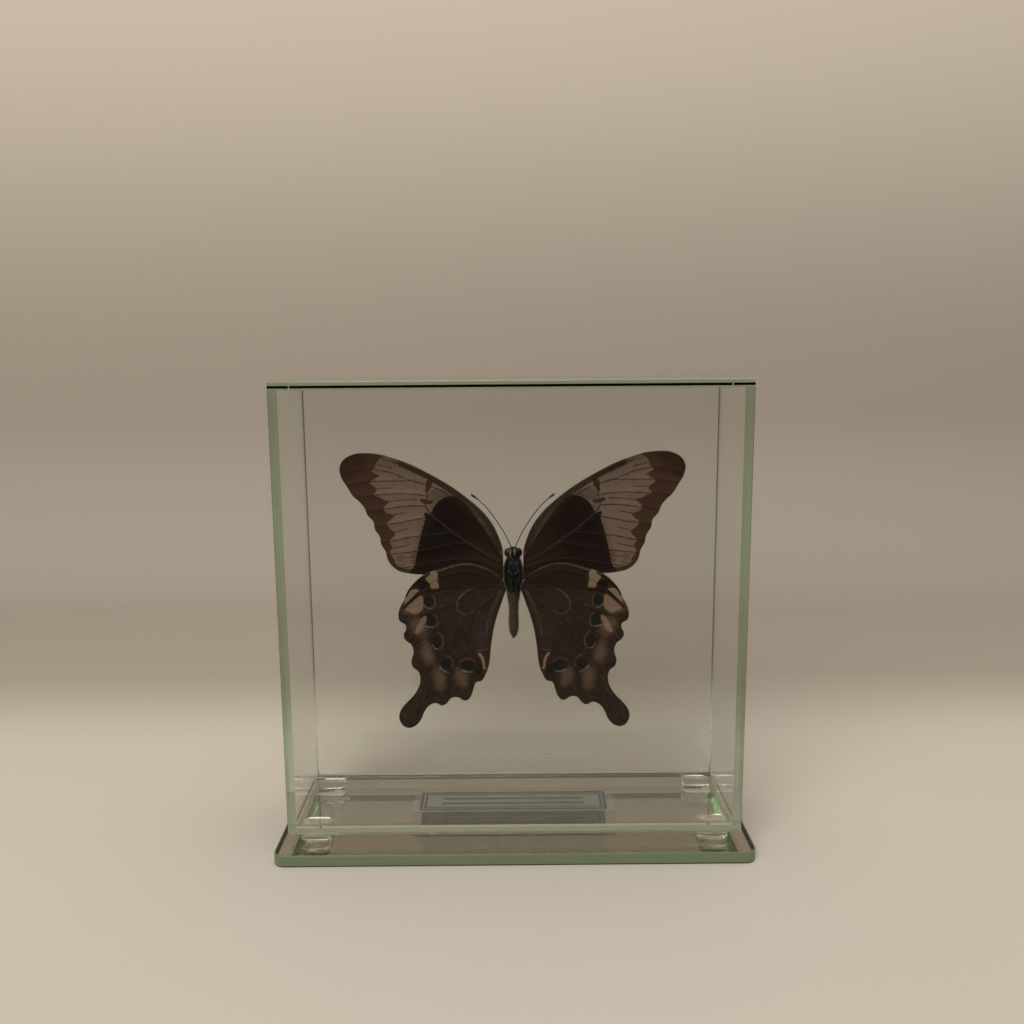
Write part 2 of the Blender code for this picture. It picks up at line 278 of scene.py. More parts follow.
world = bpy.data.worlds.new("room")
bpy.context.scene.world = world
world.use_nodes = True
sky = world.node_tree.nodes["Background"]
sky.inputs["Color"].default_value = linear("FBF8F4")
view = add(world.node_tree, "ShaderNodeTexCoord")
split = add(world.node_tree, "ShaderNodeSeparateXYZ", {0: view.outputs["Generated"]})
bright = add(world.node_tree, "ShaderNodeMapRange",
             {0: split.outputs[2], 1: CEILING_FROM, 2: CEILING_FULL, 3: WORLD_STRENGTH, 4: CEILING_STRENGTH},
             interpolation_type="SMOOTHSTEP")
world.node_tree.links.new(bright.outputs[0], sky.inputs["Strength"])
for name, place, size, watts, through_glass in SOFTBOXES:
    light = bpy.data.lights.new(name, "AREA")
    light.shape = "SQUARE"
    light.size = size
    light.energy = watts
    light.color = linear("FFFBF6")[:3]
    softbox = bpy.data.objects.new(name, light)
    bpy.context.scene.collection.objects.link(softbox)
    softbox.location = place
    softbox.rotation_euler = (-Vector(place)).to_track_quat("-Z", "Y").to_euler()
    softbox.visible_glossy = False
    softbox.visible_transmission = through_glass
bpy.context.scene.view_settings.view_transform = "Standard"

# %% [markdown]
# A ray that enters the edge of a pane is turned back at its faces many times before it leaves at the far
# edge. With too few bounces the green edges would render black.

# %% Light paths
bpy.context.scene.cycles.max_bounces = 28
bpy.context.scene.cycles.glossy_bounces = 18
bpy.context.scene.cycles.transmission_bounces = 24

# %% Black card
CARD_FRONT = -0.03
CARD_FULL = -0.1
CARD_REAR = -0.75
CARD_TOP = 0.45
CARD_HALF_WIDTH = 0.5
CARD_LIFT = 1 * MM

# Painted shade: a dark sheet that only the glass shows, as a painted reflection of the dark side of the room.
card = sheet_between("black_card", CARD_HALF_WIDTH, CARD_REAR, CARD_FRONT, CARD_LIFT)
pick(card, "edges", lambda e: all(touches(v.co, 1, CARD_REAR) for v in e.verts))
bpy.ops.mesh.extrude_region_move(TRANSFORM_OT_translate={"value": (0, 0, CARD_TOP)})
bpy.ops.object.mode_set(mode="OBJECT")
black, tree, shader, _ = new_material("black_card")
shader.inputs["Base Color"].default_value = linear("141210")
shader.inputs["Roughness"].default_value = 0.9
place = add(tree, "ShaderNodeTexCoord")
split = add(tree, "ShaderNodeSeparateXYZ", {0: place.outputs["Object"]})
solid = add(tree, "ShaderNodeMapRange", {0: split.outputs[1], 1: CARD_FRONT, 2: CARD_FULL})
tree.links.new(solid.outputs[0], shader.inputs["Alpha"])
card.data.materials.append(black)
card.visible_camera = card.visible_diffuse = card.visible_shadow = False
card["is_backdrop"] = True

# %% [markdown]
# ## Glass
# Float glass is clear through its thin side and green along its length, because a little iron in it takes out
# red and blue. So the glass itself holds the colour, as absorption for each metre of path, and nothing is
# painted green. The broad faces are fire-polished. The edges were cut and ground, so they are satin. The
# arris, the narrow bevel that takes off the sharp corner, is satin too, but for the one at the foot of the
# box: it is a near white, mostly diffuse face, a painted highlight that shows as a bright line, since the
# softboxes are hidden from reflections.

# %% Glass materials
GREEN_LEFT_OVER = "B5DDB0"
GREEN_DENSITY = 22.0
FLOAT_GLASS_IOR = 1.52
SMEAR_SIZE = 18 * MM
SMEAR_FROM = 0.55
SMEAR_FULL = 0.8


def glass_material(name, roughness, smear):
    """Float glass with one kind of surface. smear is how much finger marks and dust roughen it."""
    material, tree, shader, output = new_material(name)
    place = add(tree, "ShaderNodeTexCoord")
    cloud = add(tree, "ShaderNodeTexNoise",
                {"Vector": place.outputs["Object"], "Scale": 1 / SMEAR_SIZE, "Detail": 1.0})
    rough = add(tree, "ShaderNodeMapRange", {0: cloud.outputs[0], 1: SMEAR_FROM, 2: SMEAR_FULL, 3: roughness,
                                             4: roughness + smear})
    tree.links.new(rough.outputs[0], shader.inputs["Roughness"])
    shader.inputs["Base Color"].default_value = linear("FFFFFF")
    shader.inputs["Transmission Weight"].default_value = 1.0
    shader.inputs["IOR"].default_value = FLOAT_GLASS_IOR
    body = add(tree, "ShaderNodeVolumeAbsorption",
               {"Color": linear(GREEN_LEFT_OVER), "Density": GREEN_DENSITY})
    tree.links.new(body.outputs[0], output.inputs["Volume"])
    return material


polished_glass = glass_material("float_glass_polished", 0.0, 0.006)
ground_glass = glass_material("float_glass_ground_edge", 0.03, 0.05)
# A painted highlight: the near white, mostly diffuse arris gives the bright line that the softboxes, hidden
# from reflections, don't give.
arris_glass = glass_material("float_glass_arris", 0.35, 0.1)
arris_shader = arris_glass.node_tree.nodes["Principled BSDF"]
arris_shader.inputs["Base Color"].default_value = linear("F0F3E4")
arris_shader.inputs["Transmission Weight"].default_value = 0.3

# %% [markdown]
# ## Panes
# Each pane is a cube stretched to the pane's size. The glue between two panes is far thinner than the
# clearance between the solids, so the walls grow until only a hair's breadth is left. Glue fills the
# arrises inside the joints and they vanish. The outside corners keep a fine one. Two are wider and show
# as lines: the lower rear one of the top pane, seen through the length of the pane, and the lower front
# one of the floor pane.

# %% Pane
FINE_ARRIS = 0.12 * MM
WIDE_ARRIS = 0.34 * MM
GLUE = 0.02 * MM


def is_wide_corner(edge):
    """True along the lower rear edge of the top pane and the lower front edge of the floor pane."""
    return all(touches(v.co, 1, box_high.y) and touches(v.co, 2, top_low.z) or
               touches(v.co, 1, box_low.y) and touches(v.co, 2, box_low.z) for v in edge.verts)


def is_fine_corner(edge):
    """True along the other outside corners of the box, but for the ones at the rear."""
    middle = (edge.verts[0].co + edge.verts[1].co) / 2
    outside = [touches(middle, k, box_low[k]) or touches(middle, k, box_high[k]) for k in range(3)]
    return sum(outside) > 1 and not touches(middle, 1, box_high.y)


def glass_slab(name, low, high):
    """A pane between two corners. Its faces know whether they are polished, ground, or the arris with the
    painted highlight.
    """
    thin = min(range(3), key=lambda k: high[k] - low[k])
    pane = box_between(name, low, high)
    for test, width in ((is_wide_corner, WIDE_ARRIS), (is_fine_corner, FINE_ARRIS)):
        pick(pane, "edges", test)
        bpy.ops.mesh.bevel(offset=width, segments=1, affect="EDGES")
    bpy.ops.object.mode_set(mode="OBJECT")
    for material in (polished_glass, ground_glass, arris_glass):
        pane.data.materials.append(material)
    for face in pane.data.polygons:
        # The lower front arris of the floor pane gets the painted highlight.
        frosted = face.normal.y < -0.5 and face.normal.z < -0.5
        broad = abs(face.normal[thin]) > 0.99
        face.material_index = 2 if frosted else 0 if broad else 1
    return pane


# %% Six panes
floor_low, floor_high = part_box("glass_floor")
top_low, top_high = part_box("glass_top")
front_low, front_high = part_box("glass_front")
rear_low, rear_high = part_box("glass_rear")
left_low, left_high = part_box("glass_left")
right_low, right_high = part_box("glass_right")
box_low, box_high = Vector(floor_low), Vector(top_high)
wall_bottom, wall_top = floor_high.z + GLUE, top_low.z - GLUE
side_front, side_rear = front_high.y + GLUE, rear_low.y - GLUE
sides = ((left_low, left_high), (right_low, right_high))
for low, high in ((front_low, front_high), (rear_low, rear_high), *sides):
    low.z, high.z = wall_bottom, wall_top
for low, high in sides:
    low.y, high.y = side_front, side_rear
for name, node, low, high in (
    ("floor_pane", "glass_floor", floor_low, floor_high),
    ("top_pane", "glass_top", top_low, top_high),
    ("front_pane", "glass_front", front_low, front_high),
    ("rear_pane", "glass_rear", rear_low, rear_high),
    ("left_pane", "glass_left", left_low, left_high),
    ("right_pane", "glass_right", right_low, right_high),
):
    finish_piece(glass_slab(name, low, high), "float_glass", node)

# %% [markdown]
# ## Mirror plate
# A mirror is a glass plate with silver and paint on its back, so a thing that stands on it is a plate's
# thickness away from its image. The plate is a bevelled slab of the same green glass, and only its underside
# is metal, seen through the glass. Its edge was ground all round and left satin, so it holds some of the
# light that falls on it and shows an even green. The dark paint that guards the silver laps over the lower
# arris, as a thin dark line above the table; that line is partly the paint and partly a painted contact
# shadow.

# %% Silver, satin edge, and backing paint with a painted shadow
SILVER_BLOOM = 12 * MM
SILVER_HAZE = 0.012
GRIT = 0.5 * MM
GRIT_DEPTH = 0.02 * MM
PAINT_CLOUD = 2 * MM

silver, tree, shader, _, bloom = mottled("mirror_silver", "C9C2BA", "D3CCC2", SILVER_BLOOM, 0.0, detail=5.0)
haze = add(tree, "ShaderNodeMapRange", {0: bloom, 1: 0.3, 2: 0.8, 3: 0.0, 4: SILVER_HAZE})
tree.links.new(haze.outputs[0], shader.inputs["Roughness"])
shader.inputs["Metallic"].default_value = 1.0

satin_edge, tree, shader, output, grit = mottled("satin_ground_glass", "84936F", "93A17D", GRIT, 0.28)
scratch = add(tree, "ShaderNodeBump", {"Height": grit, "Distance": GRIT_DEPTH, "Strength": 0.4})
tree.links.new(scratch.outputs[0], shader.inputs["Normal"])
shader.inputs["Transmission Weight"].default_value = 0.5
shader.inputs["IOR"].default_value = FLOAT_GLASS_IOR
body = add(tree, "ShaderNodeVolumeAbsorption", {"Color": linear(GREEN_LEFT_OVER), "Density": GREEN_DENSITY})
tree.links.new(body.outputs[0], output.inputs["Volume"])

# Dark paint on the lower arris: partly backing paint, partly a painted contact shadow along the plate's foot.
backing_paint = mottled("mirror_backing_paint", "15130F", "2B2822", PAINT_CLOUD, 0.7)[0]
print("plate materials:", silver.name, satin_edge.name, backing_paint.name)

# %% Plate
CORNER = 3.0 * MM
PLATE_ARRIS = 0.35 * MM

plate_low, plate_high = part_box("mirror_base")
plate = box_between("mirror_plate", plate_low, plate_high)
pick(plate, "edges", lambda e: abs(e.verts[0].co.z - e.verts[1].co.z) > MM)
bpy.ops.mesh.bevel(offset=CORNER, segments=10, affect="EDGES")
pick(plate, "edges", lambda e: abs(e.verts[0].co.z - e.verts[1].co.z) < MM)
bpy.ops.mesh.bevel(offset=PLATE_ARRIS, segments=3, affect="EDGES")
bpy.ops.object.mode_set(mode="OBJECT")
for material in (polished_glass, satin_edge, silver, backing_paint):
    plate.data.materials.append(material)
for face in plate.data.polygons:
    up = face.normal.z
    face.material_index = 0 if up > 0.99 else 2 if up < -0.99 else 3 if up < -0.1 else 1
finish_piece(plate, "mirror_base", "mirror_base")

# %% [markdown]
# ## Clear pads
# The pads are cast polyurethane bumpers, clear and a little soft. Each is wider at the foot than at the head,
# with round corners and a soft rim that catches the light as a thin bright line. Each pad is shaped from a
# cube, by bevels and by shrinking its upper face.

# %% Clear plastic
PLASTIC_IOR = 1.49
RIPPLE_HEIGHT = 0.02 * MM


def clear_plastic(name, ripple, strength, roughness):
    """Clear plastic with ripples of the given size in its skin: (material, tree, output)."""
    material, tree, shader, output = new_material(name)
    place = add(tree, "ShaderNodeTexCoord")
    waves = add(tree, "ShaderNodeTexNoise",
                {"Vector": place.outputs["Object"], "Scale": 1 / ripple, "Detail": 2.0})
    skin = add(tree, "ShaderNodeBump",
               {"Height": waves.outputs[0], "Distance": RIPPLE_HEIGHT, "Strength": strength})
    tree.links.new(skin.outputs[0], shader.inputs["Normal"])
    shader.inputs["Base Color"].default_value = linear("FFFFFF")
    shader.inputs["Roughness"].default_value = roughness
    shader.inputs["Transmission Weight"].default_value = 1.0
    shader.inputs["IOR"].default_value = PLASTIC_IOR
    return material, tree, output


polyurethane, tree, output = clear_plastic("clear_polyurethane", 1.5 * MM, 0.5, 0.04)
body = add(tree, "ShaderNodeVolumeAbsorption", {"Color": linear("E8EFE0"), "Density": 40.0})
tree.links.new(body.outputs[0], output.inputs["Volume"])

# %% Four pads
PAD_CORNER = 1.3 * MM
PAD_RIM = 0.35 * MM
PAD_TAPER = 0.93
CONTACT = 0.02 * MM

for node in ("pad_front_left", "pad_front_right", "pad_rear_left", "pad_rear_right"):
    low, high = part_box(node)
    low.z, high.z = plate_high.z + CONTACT, floor_low.z - CONTACT
    pad = box_between(node.replace("pad", "bumper"), low, high)
    pick(pad, "edges", lambda e: abs(e.verts[0].co.z - e.verts[1].co.z) > MM)
    bpy.ops.mesh.bevel(offset=PAD_CORNER, segments=8, affect="EDGES")
    pick(pad, "faces", lambda f: f.normal.z > 0.9)
    bpy.ops.transform.resize(value=(PAD_TAPER, PAD_TAPER, 1), center_override=(low + high) / 2)
    pick(pad, "edges", lambda e: abs(e.verts[0].co.z - e.verts[1].co.z) < 0.1 * MM)
    bpy.ops.mesh.bevel(offset=PAD_RIM, segments=4, affect="EDGES")
    bpy.ops.object.mode_set(mode="OBJECT")
    bpy.ops.object.shade_smooth_by_angle(angle=math.radians(35))
    pad.data.materials.append(polyurethane)
    finish_piece(pad, "clear_pad", node)

# %% [markdown]
# ## Label
# The label is a clear film under the floor pane. Its print has a pale ground, a double blue frame and
# two plain ruled lines. The ink is thin and lets some light through, so the mirror shows it from below.
# The film's solid is right as it is, so only its material changes. Distances in millimetres from the
# label's middle decide what each spot of it shows.

# %% Printed film
FRAME_MIDDLE = (-0.3, 0.55)
FRAME_HALF = (25.0, 5.25)
FRAME_LINES = ((0.42, 0.84), (1.5, 0.6))
RULED_LINES = (-1.5, 1.2)
RULED_HALF_LENGTH = 19.0
RULED_THICK = 1.0
INK_GLOW = 0.15

film, tree, shader, output = new_material("printed_clear_film")
place = add(tree, "ShaderNodeTexCoord")
spot = add(tree, "ShaderNodeMapping", {"Vector": place.outputs["Object"], "Scale": (1 / MM, 1 / MM, 1 / MM),
                                       "Location": (-FRAME_MIDDLE[0], -FRAME_MIDDLE[1], 0)})
split = add(tree, "ShaderNodeSeparateXYZ", {0: spot.outputs[0]})
across = [add(tree, "ShaderNodeMath", {0: split.outputs[k]}, operation="ABSOLUTE").outputs[0] for k in (0, 1)]
past = [add(tree, "ShaderNodeMath", {0: away, 1: half}, operation="SUBTRACT").outputs[0]
        for away, half in zip(across, FRAME_HALF)]
edge = add(tree, "ShaderNodeMath", {0: past[0], 1: past[1]}, operation="MAXIMUM").outputs[0]
fleck = add(tree, "ShaderNodeTexNoise", {"Vector": spot.outputs[0], "Scale": 4.0, "Detail": 2.0})
print_colour = add(tree, "ShaderNodeMix", {0: fleck.outputs[0], 6: linear("EEF4E0"), 7: linear("F6FAEA")},
                   data_type="RGBA").outputs[2]
for inset, width in FRAME_LINES:
    line = add(tree, "ShaderNodeMath", {0: edge, 1: -inset, 2: width / 2}, operation="COMPARE")
    print_colour = add(tree, "ShaderNodeMix", {0: line.outputs[0], 6: print_colour, 7: linear("1F4A80")},
                       data_type="RGBA").outputs[2]
for up in RULED_LINES:
    row = add(tree, "ShaderNodeMath", {0: split.outputs[1], 1: up, 2: RULED_THICK / 2}, operation="COMPARE")
    length = add(tree, "ShaderNodeMath", {0: across[0], 1: RULED_HALF_LENGTH}, operation="LESS_THAN")
    rule = add(tree, "ShaderNodeMath", {0: row.outputs[0], 1: length.outputs[0]}, operation="MULTIPLY")
    print_colour = add(tree, "ShaderNodeMix", {0: rule.outputs[0], 6: print_colour, 7: linear("1C211A")},
                       data_type="RGBA").outputs[2]
tree.links.new(print_colour, shader.inputs["Base Color"])
shader.inputs["Roughness"].default_value = 0.35
clear = add(tree, "ShaderNodeBsdfPrincipled", {"Base Color": linear("FFFFFF"), "Roughness": 0.05,
                                               "Transmission Weight": 1.0, "IOR": 1.5})
printed = add(tree, "ShaderNodeMath", {0: edge, 1: 0.0}, operation="LESS_THAN")
glow = add(tree, "ShaderNodeBsdfTranslucent", {"Color": print_colour})
thin = add(tree, "ShaderNodeMixShader", {0: INK_GLOW, 1: shader.outputs[0], 2: glow.outputs[0]})
both = add(tree, "ShaderNodeMixShader", {0: printed.outputs[0], 1: clear.outputs[0], 2: thin.outputs[0]})
tree.links.new(both.outputs[0], output.inputs["Surface"])
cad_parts["label"].material_slots[0].material = film

# %% [markdown]
# ## The butterfly's place
# Every line on the butterfly is given in millimetres from the middle of its thorax, outwards from the
# midline and up, as it would be on a drawing of one side of it. The left side is the same drawing
# turned over.

# %% Middle of the thorax
ABDOMEN_TIP = 17.7 * MM
body_low, body_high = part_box("butterfly_body")
specimen = Vector(((body_low.x + body_high.x) / 2, 0, body_low.z + ABDOMEN_TIP))
print("middle of the thorax, in mm:", [round(v / MM, 2) for v in specimen])


def smooth_line(points, steps=6, closed=False):
    """Points on a smooth curve that passes through every listed point."""
    p = np.array(points, float)
    if closed:
        ends = np.vstack([p[-1], p, p[:2]])
    else:
        ends = np.vstack([2 * p[0] - p[1], p, 2 * p[-1] - p[-2]])
    t = np.linspace(0, 1, steps, endpoint=False)[:, None]
    runs = [
        0.5 * (2 * b + (c - a) * t + (2 * a - 5 * b + 4 * c - d) * t**2 + (3 * b - a - 3 * c + d) * t**3)
        for a, b, c, d in zip(ends, ends[1:], ends[2:], ends[3:])
    ]
    return np.vstack(runs) if closed else np.vstack(runs + [p[-1:]])


def tube(places, radii, material, sides=1):
    """A round tube along places in metres, with a radius in millimetres at each, as a mesh object."""
    curve = bpy.data.curves.new("tube", "CURVE")
    curve.dimensions = "3D"
    curve.bevel_depth = MM
    curve.bevel_resolution = sides
    curve.use_fill_caps = True
    run = curve.splines.new("POLY")
    run.points.add(len(places) - 1)
    for point, place, radius in zip(run.points, places, radii):
        point.co = (*place, 1)
        point.radius = radius
    line = bpy.data.objects.new("tube", curve)
    bpy.context.scene.collection.objects.link(line)
    select_only(line)
    bpy.ops.object.convert(target="MESH")
    line = bpy.context.object
    bpy.ops.object.shade_smooth()
    line.data.materials.append(material)
    return line


def joined(name, pieces):
    """Joins the pieces into the first and names it."""
    select_only(pieces[0])
    for piece in pieces:
        piece.select_set(True)
    bpy.ops.object.join()
    bpy.context.object.name = name
    return bpy.context.object


# %% [markdown]
# ## How a marking is drawn
# A wing's colours are in its scales, in soft-edged areas that follow the veins. So each wing is a fine
# mesh, and each point of it is told how deep it lies in each marking, from 0 to 1. A stroke is a smooth
# line with a width, a patch is a closed outline, and a spot is a turned ellipse. The material later
# gives every marking its colour and breaks its edge up into single scales.

# %% Stroke, patch and spot
def distance(places, line, closed=False):
    """How far each place is from the line."""
    ends = np.roll(line, -1, axis=0) if closed else line[1:]
    nearest = np.full(len(places), 1e3)
    for a, b in zip(line, ends):
        step = b - a
        along = np.clip((places - a) @ step / max(step @ step, 1e-9), 0, 1)
        nearest = np.minimum(nearest, np.hypot(*(places - a - along[:, None] * step).T))
    return nearest


def nearby(places, line, reach):
    """True for the places in a rectangle round the line, the only ones worth measuring."""
    return np.all((places > line.min(0) - reach) & (places < line.max(0) + reach), axis=1)


def fade(inside, soft):
    """1 well inside, 0 well outside, and smooth over the soft width between."""
    t = np.clip(inside / soft + 0.5, 0, 1)
    return t * t * (3 - 2 * t)


def stroke(places, points, width, soft=0.25):
    """Depth in a smooth line with a width."""
    line = smooth_line(points)
    near = nearby(places, line, width + soft)
    depth = np.zeros(len(places))
    depth[near] = fade(width / 2 - distance(places[near], line), soft)
    return depth


def patch(places, outline, soft=0.4):
    """Depth in a closed outline, which a ray from an inner place crosses an odd number of times."""
    line = smooth_line(outline, 4, closed=True)
    near = nearby(places, line, soft)
    x, y = places[near].T
    inside = np.zeros(near.sum(), bool)
    for (x0, y0), (x1, y1) in zip(line, np.roll(line, -1, axis=0)):
        if y0 != y1:
            inside ^= ((y0 > y) != (y1 > y)) & (x < (x1 - x0) * (y - y0) / (y1 - y0) + x0)
    away = distance(places[near], line, closed=True)
    depth = np.zeros(len(places))
    depth[near] = fade(np.where(inside, away, -away), soft)
    return depth


def spot(places, centre, radii, turn=0.0, soft=0.3):
    """Depth in an ellipse that is turned by an angle in degrees."""
    angle = math.radians(turn)
    x, y = (places - np.array(centre)).T
    out = x * math.cos(angle) + y * math.sin(angle)
    up = y * math.cos(angle) - x * math.sin(angle)
    return fade((1 - np.hypot(out / radii[0], up / radii[1])) * min(radii), soft)


def together(*depths):
    """Depth in the nearest of several markings."""
    return np.maximum.reduce(depths)


# %% [markdown]
# ## Veins
# Hollow veins stiffen a wing and feed it while it spreads. They run out from the root and fork, and on
# the pale part of the forewing they are the first thing that the eye follows. The lists go from the
# root outwards.

# %% Vein lines, in millimetres
FORE_VEINS = {
    "costa": [(3.0, 6.6), (6.6, 13.4), (12.4, 19.3), (20.6, 24.8), (28.4, 28.6)],
    "subcosta": [(3.2, 5.6), (6.2, 10.6), (9.4, 14.9), (12.6, 18.1), (16.4, 21.2), (21.0, 24.4), (27.0, 27.6),
                 (33.5, 29.8)],
    "cell_top": [(3.4, 5.0), (7.2, 11.0), (11.0, 15.6), (14.4, 18.9), (18.4, 21.4), (22.0, 23.0),
                 (25.0, 23.8), (27.3, 24.6), (30.0, 25.8), (33.0, 26.6), (36.0, 27.0), (40.0, 26.7),
                 (43.3, 25.8)],
    "radial": [(26.0, 24.0), (30.0, 24.0), (36.0, 23.9), (40.0, 23.4), (42.3, 22.9)],
    "medial_1": [(21.8, 20.0), (25.0, 20.5), (29.0, 20.7), (33.0, 20.5), (36.0, 20.3), (39.0, 20.0),
                 (40.4, 19.7)],
    "medial_2": [(22.4, 17.5), (26.5, 17.5), (30.5, 17.1), (34.5, 16.5), (37.2, 16.1)],
    "medial_3": [(21.2, 15.4), (22.6, 14.5), (25.0, 14.0), (28.5, 13.3), (32.0, 12.8), (35.4, 12.3)],
    "cell_floor": [(3.6, 2.8), (8.0, 5.4), (12.0, 8.1), (14.5, 9.8), (17.0, 11.8), (19.5, 13.9), (21.2, 15.6),
                   (22.4, 17.4), (22.0, 20.0), (22.2, 22.9)],
    "cubital_1": [(15.6, 10.6), (20.0, 10.2), (24.0, 9.7), (27.0, 9.3), (30.0, 8.6), (33.8, 7.9)],
    "cubital_2": [(11.6, 8.0), (16.0, 7.5), (20.0, 6.6), (23.0, 6.0), (26.0, 5.5), (29.5, 5.1), (32.6, 4.8)],
    "anal": [(3.4, 1.2), (7.0, 2.6), (11.0, 3.5), (15.0, 3.6), (20.0, 2.8), (25.0, 1.9), (29.6, 1.1)],
}
HIND_VEINS = {
    "costal": [(2.8, -2.7), (6.0, -0.9), (11.0, 0.7), (16.0, 0.3), (20.0, -1.7), (24.2, -5.3), (28.2, -8.7)],
    "radial": [(3.0, -3.2), (8.0, -3.4), (12.4, -5.2), (14.4, -7.4), (19.0, -9.2), (24.0, -10.6),
               (29.6, -11.3)],
    "medial_1": [(14.4, -7.4), (14.6, -9.2), (18.6, -12.6), (22.6, -15.7), (28.3, -17.0)],
    "medial_2": [(14.3, -10.2), (17.0, -15.4), (19.2, -21.0), (22.0, -24.0), (26.6, -24.4)],
    "tail": [(13.4, -11.0), (16.6, -17.4), (19.2, -22.9), (21.0, -27.6), (23.4, -33.0), (26.4, -37.8),
             (28.4, -41.0)],
    "cubital_1": [(12.6, -11.2), (14.5, -18.0), (15.4, -24.0), (17.0, -30.0), (19.2, -35.4)],
    "cubital_2": [(11.2, -10.7), (10.8, -16.0), (10.3, -22.0), (10.6, -27.4), (12.6, -34.0)],
    "cell_floor": [(3.0, -4.0), (6.6, -7.4), (10.3, -10.2), (12.4, -11.2), (13.9, -10.7), (14.6, -9.2),
                   (14.4, -7.4)],
    "anal": [(2.8, -5.0), (5.6, -11.0), (7.0, -18.0), (7.6, -24.0), (8.6, -28.6)],
}
print(len(FORE_VEINS), "forewing veins and", len(HIND_VEINS), "hindwing veins")

# %% [markdown]
# ## Forewing markings
# Below, the forewing is near black from its root to two thirds of its length, then pinkish grey, with a
# broad dark margin whose inner edge is toothed: each tooth points at the root, half way between two
# veins, and a dark stripe runs on from it.

# %% Forewing areas, in millimetres
FORE_DARK = [(1.0, -3.0), (3.4, 5.0), (6.2, 10.0), (9.6, 14.8), (12.6, 18.2), (14.6, 19.9), (16.4, 20.0),
             (18.4, 19.2), (19.8, 18.0), (20.7, 16.4), (21.4, 15.4), (22.4, 15.9), (22.9, 15.2),
             (22.6, 14.5), (23.0, 12.8), (23.7, 10.4), (24.3, 8.0), (24.9, 5.4), (25.4, 2.6),
             (25.6, -3.0)]
FORE_DEEP = [(11.5, 14.5), (14.6, 19.5), (16.6, 19.6), (19.4, 17.9), (21.0, 15.4), (22.6, 12.6),
             (24.0, 8.0), (25.0, 3.2), (19.0, 3.6), (13.5, 4.6), (11.0, 8.6)]
FORE_MARGIN = [(31.0, 31.6), (33.8, 29.8), (34.8, 28.6), (35.3, 27.4), (36.0, 26.7), (35.5, 26.0),
               (34.2, 25.3), (35.4, 24.5), (36.4, 23.9), (36.1, 23.0), (34.9, 22.1), (35.1, 21.2),
               (35.7, 20.5), (34.6, 19.9), (33.0, 19.2), (31.9, 18.7), (32.7, 17.6), (33.3, 16.7),
               (32.4, 15.8), (30.6, 15.0), (31.5, 14.0), (32.5, 12.9), (31.8, 11.7), (30.4, 10.4),
               (31.2, 9.2), (32.0, 8.1), (31.5, 7.2), (31.2, 6.4), (31.9, 5.5), (31.6, 4.6), (30.7, 3.4),
               (30.6, 2.4), (29.6, 1.7), (27.5, 1.0), (25.0, 1.2), (22.0, 1.5), (20.0, -3.0),
               (36.0, -3.0), (50.0, 8.0), (50.0, 36.0), (32.0, 36.0)]
FORE_DEEP_MARGIN = [(36.0, 31.8), (37.8, 29.6), (38.6, 27.6), (40.4, 26.4), (42.6, 25.0), (44.4, 22.0),
                    (50.0, 22.0), (50.0, 36.0), (36.0, 36.0)]
FORE_CELL_GREY = [(14.4, 20.3), (16.4, 21.2), (19.4, 22.0), (21.2, 21.4), (21.9, 20.2), (21.4, 19.2),
                  (20.4, 18.6), (19.0, 19.0), (17.3, 20.0), (15.6, 20.4)]
FORE_CELL_MARKS = [
    [(20.6, 24.3), (21.6, 24.4), (22.3, 23.4), (22.2, 22.4), (22.5, 21.4), (22.0, 20.9), (21.3, 21.8),
     (20.7, 22.8)],
    [(20.4, 18.6), (21.6, 19.0), (23.2, 19.4), (24.0, 18.9), (23.4, 18.3), (22.3, 18.0), (21.2, 17.9)],
]
FORE_STRIPES = [
    [(30.8, 27.3), (32.6, 27.8), (34.8, 28.3)],
    [(31.0, 22.2), (33.0, 22.1), (35.4, 22.1)],
    [(24.6, 19.2), (28.5, 19.0), (32.6, 18.7)],
    [(27.2, 15.8), (29.0, 15.5), (31.0, 15.1)],
    [(27.1, 11.5), (29.0, 11.1), (31.0, 10.5)],
    [(27.2, 7.3), (29.3, 6.8), (31.6, 6.2)],
    [(25.8, 4.1), (27.4, 3.9), (29.0, 4.2)],
]
FORE_BUFF = [
    [(25.4, 3.5), (26.4, 3.3), (26.9, 2.5), (25.6, 2.3)],
    [(28.4, 4.6), (29.8, 4.4), (30.3, 3.3), (29.4, 2.9), (28.5, 3.5)],
    [(28.2, 2.6), (29.4, 2.5), (29.9, 1.9), (28.8, 1.6), (27.9, 1.9)],
]
FORE_COSTAL_LINES = [
    [(5.8, 10.2), (8.6, 14.2), (12.0, 17.6), (14.6, 19.9), (17.6, 22.1)],
    [(13.6, 20.5), (20.0, 24.7), (27.0, 28.1), (33.0, 30.4)],
]


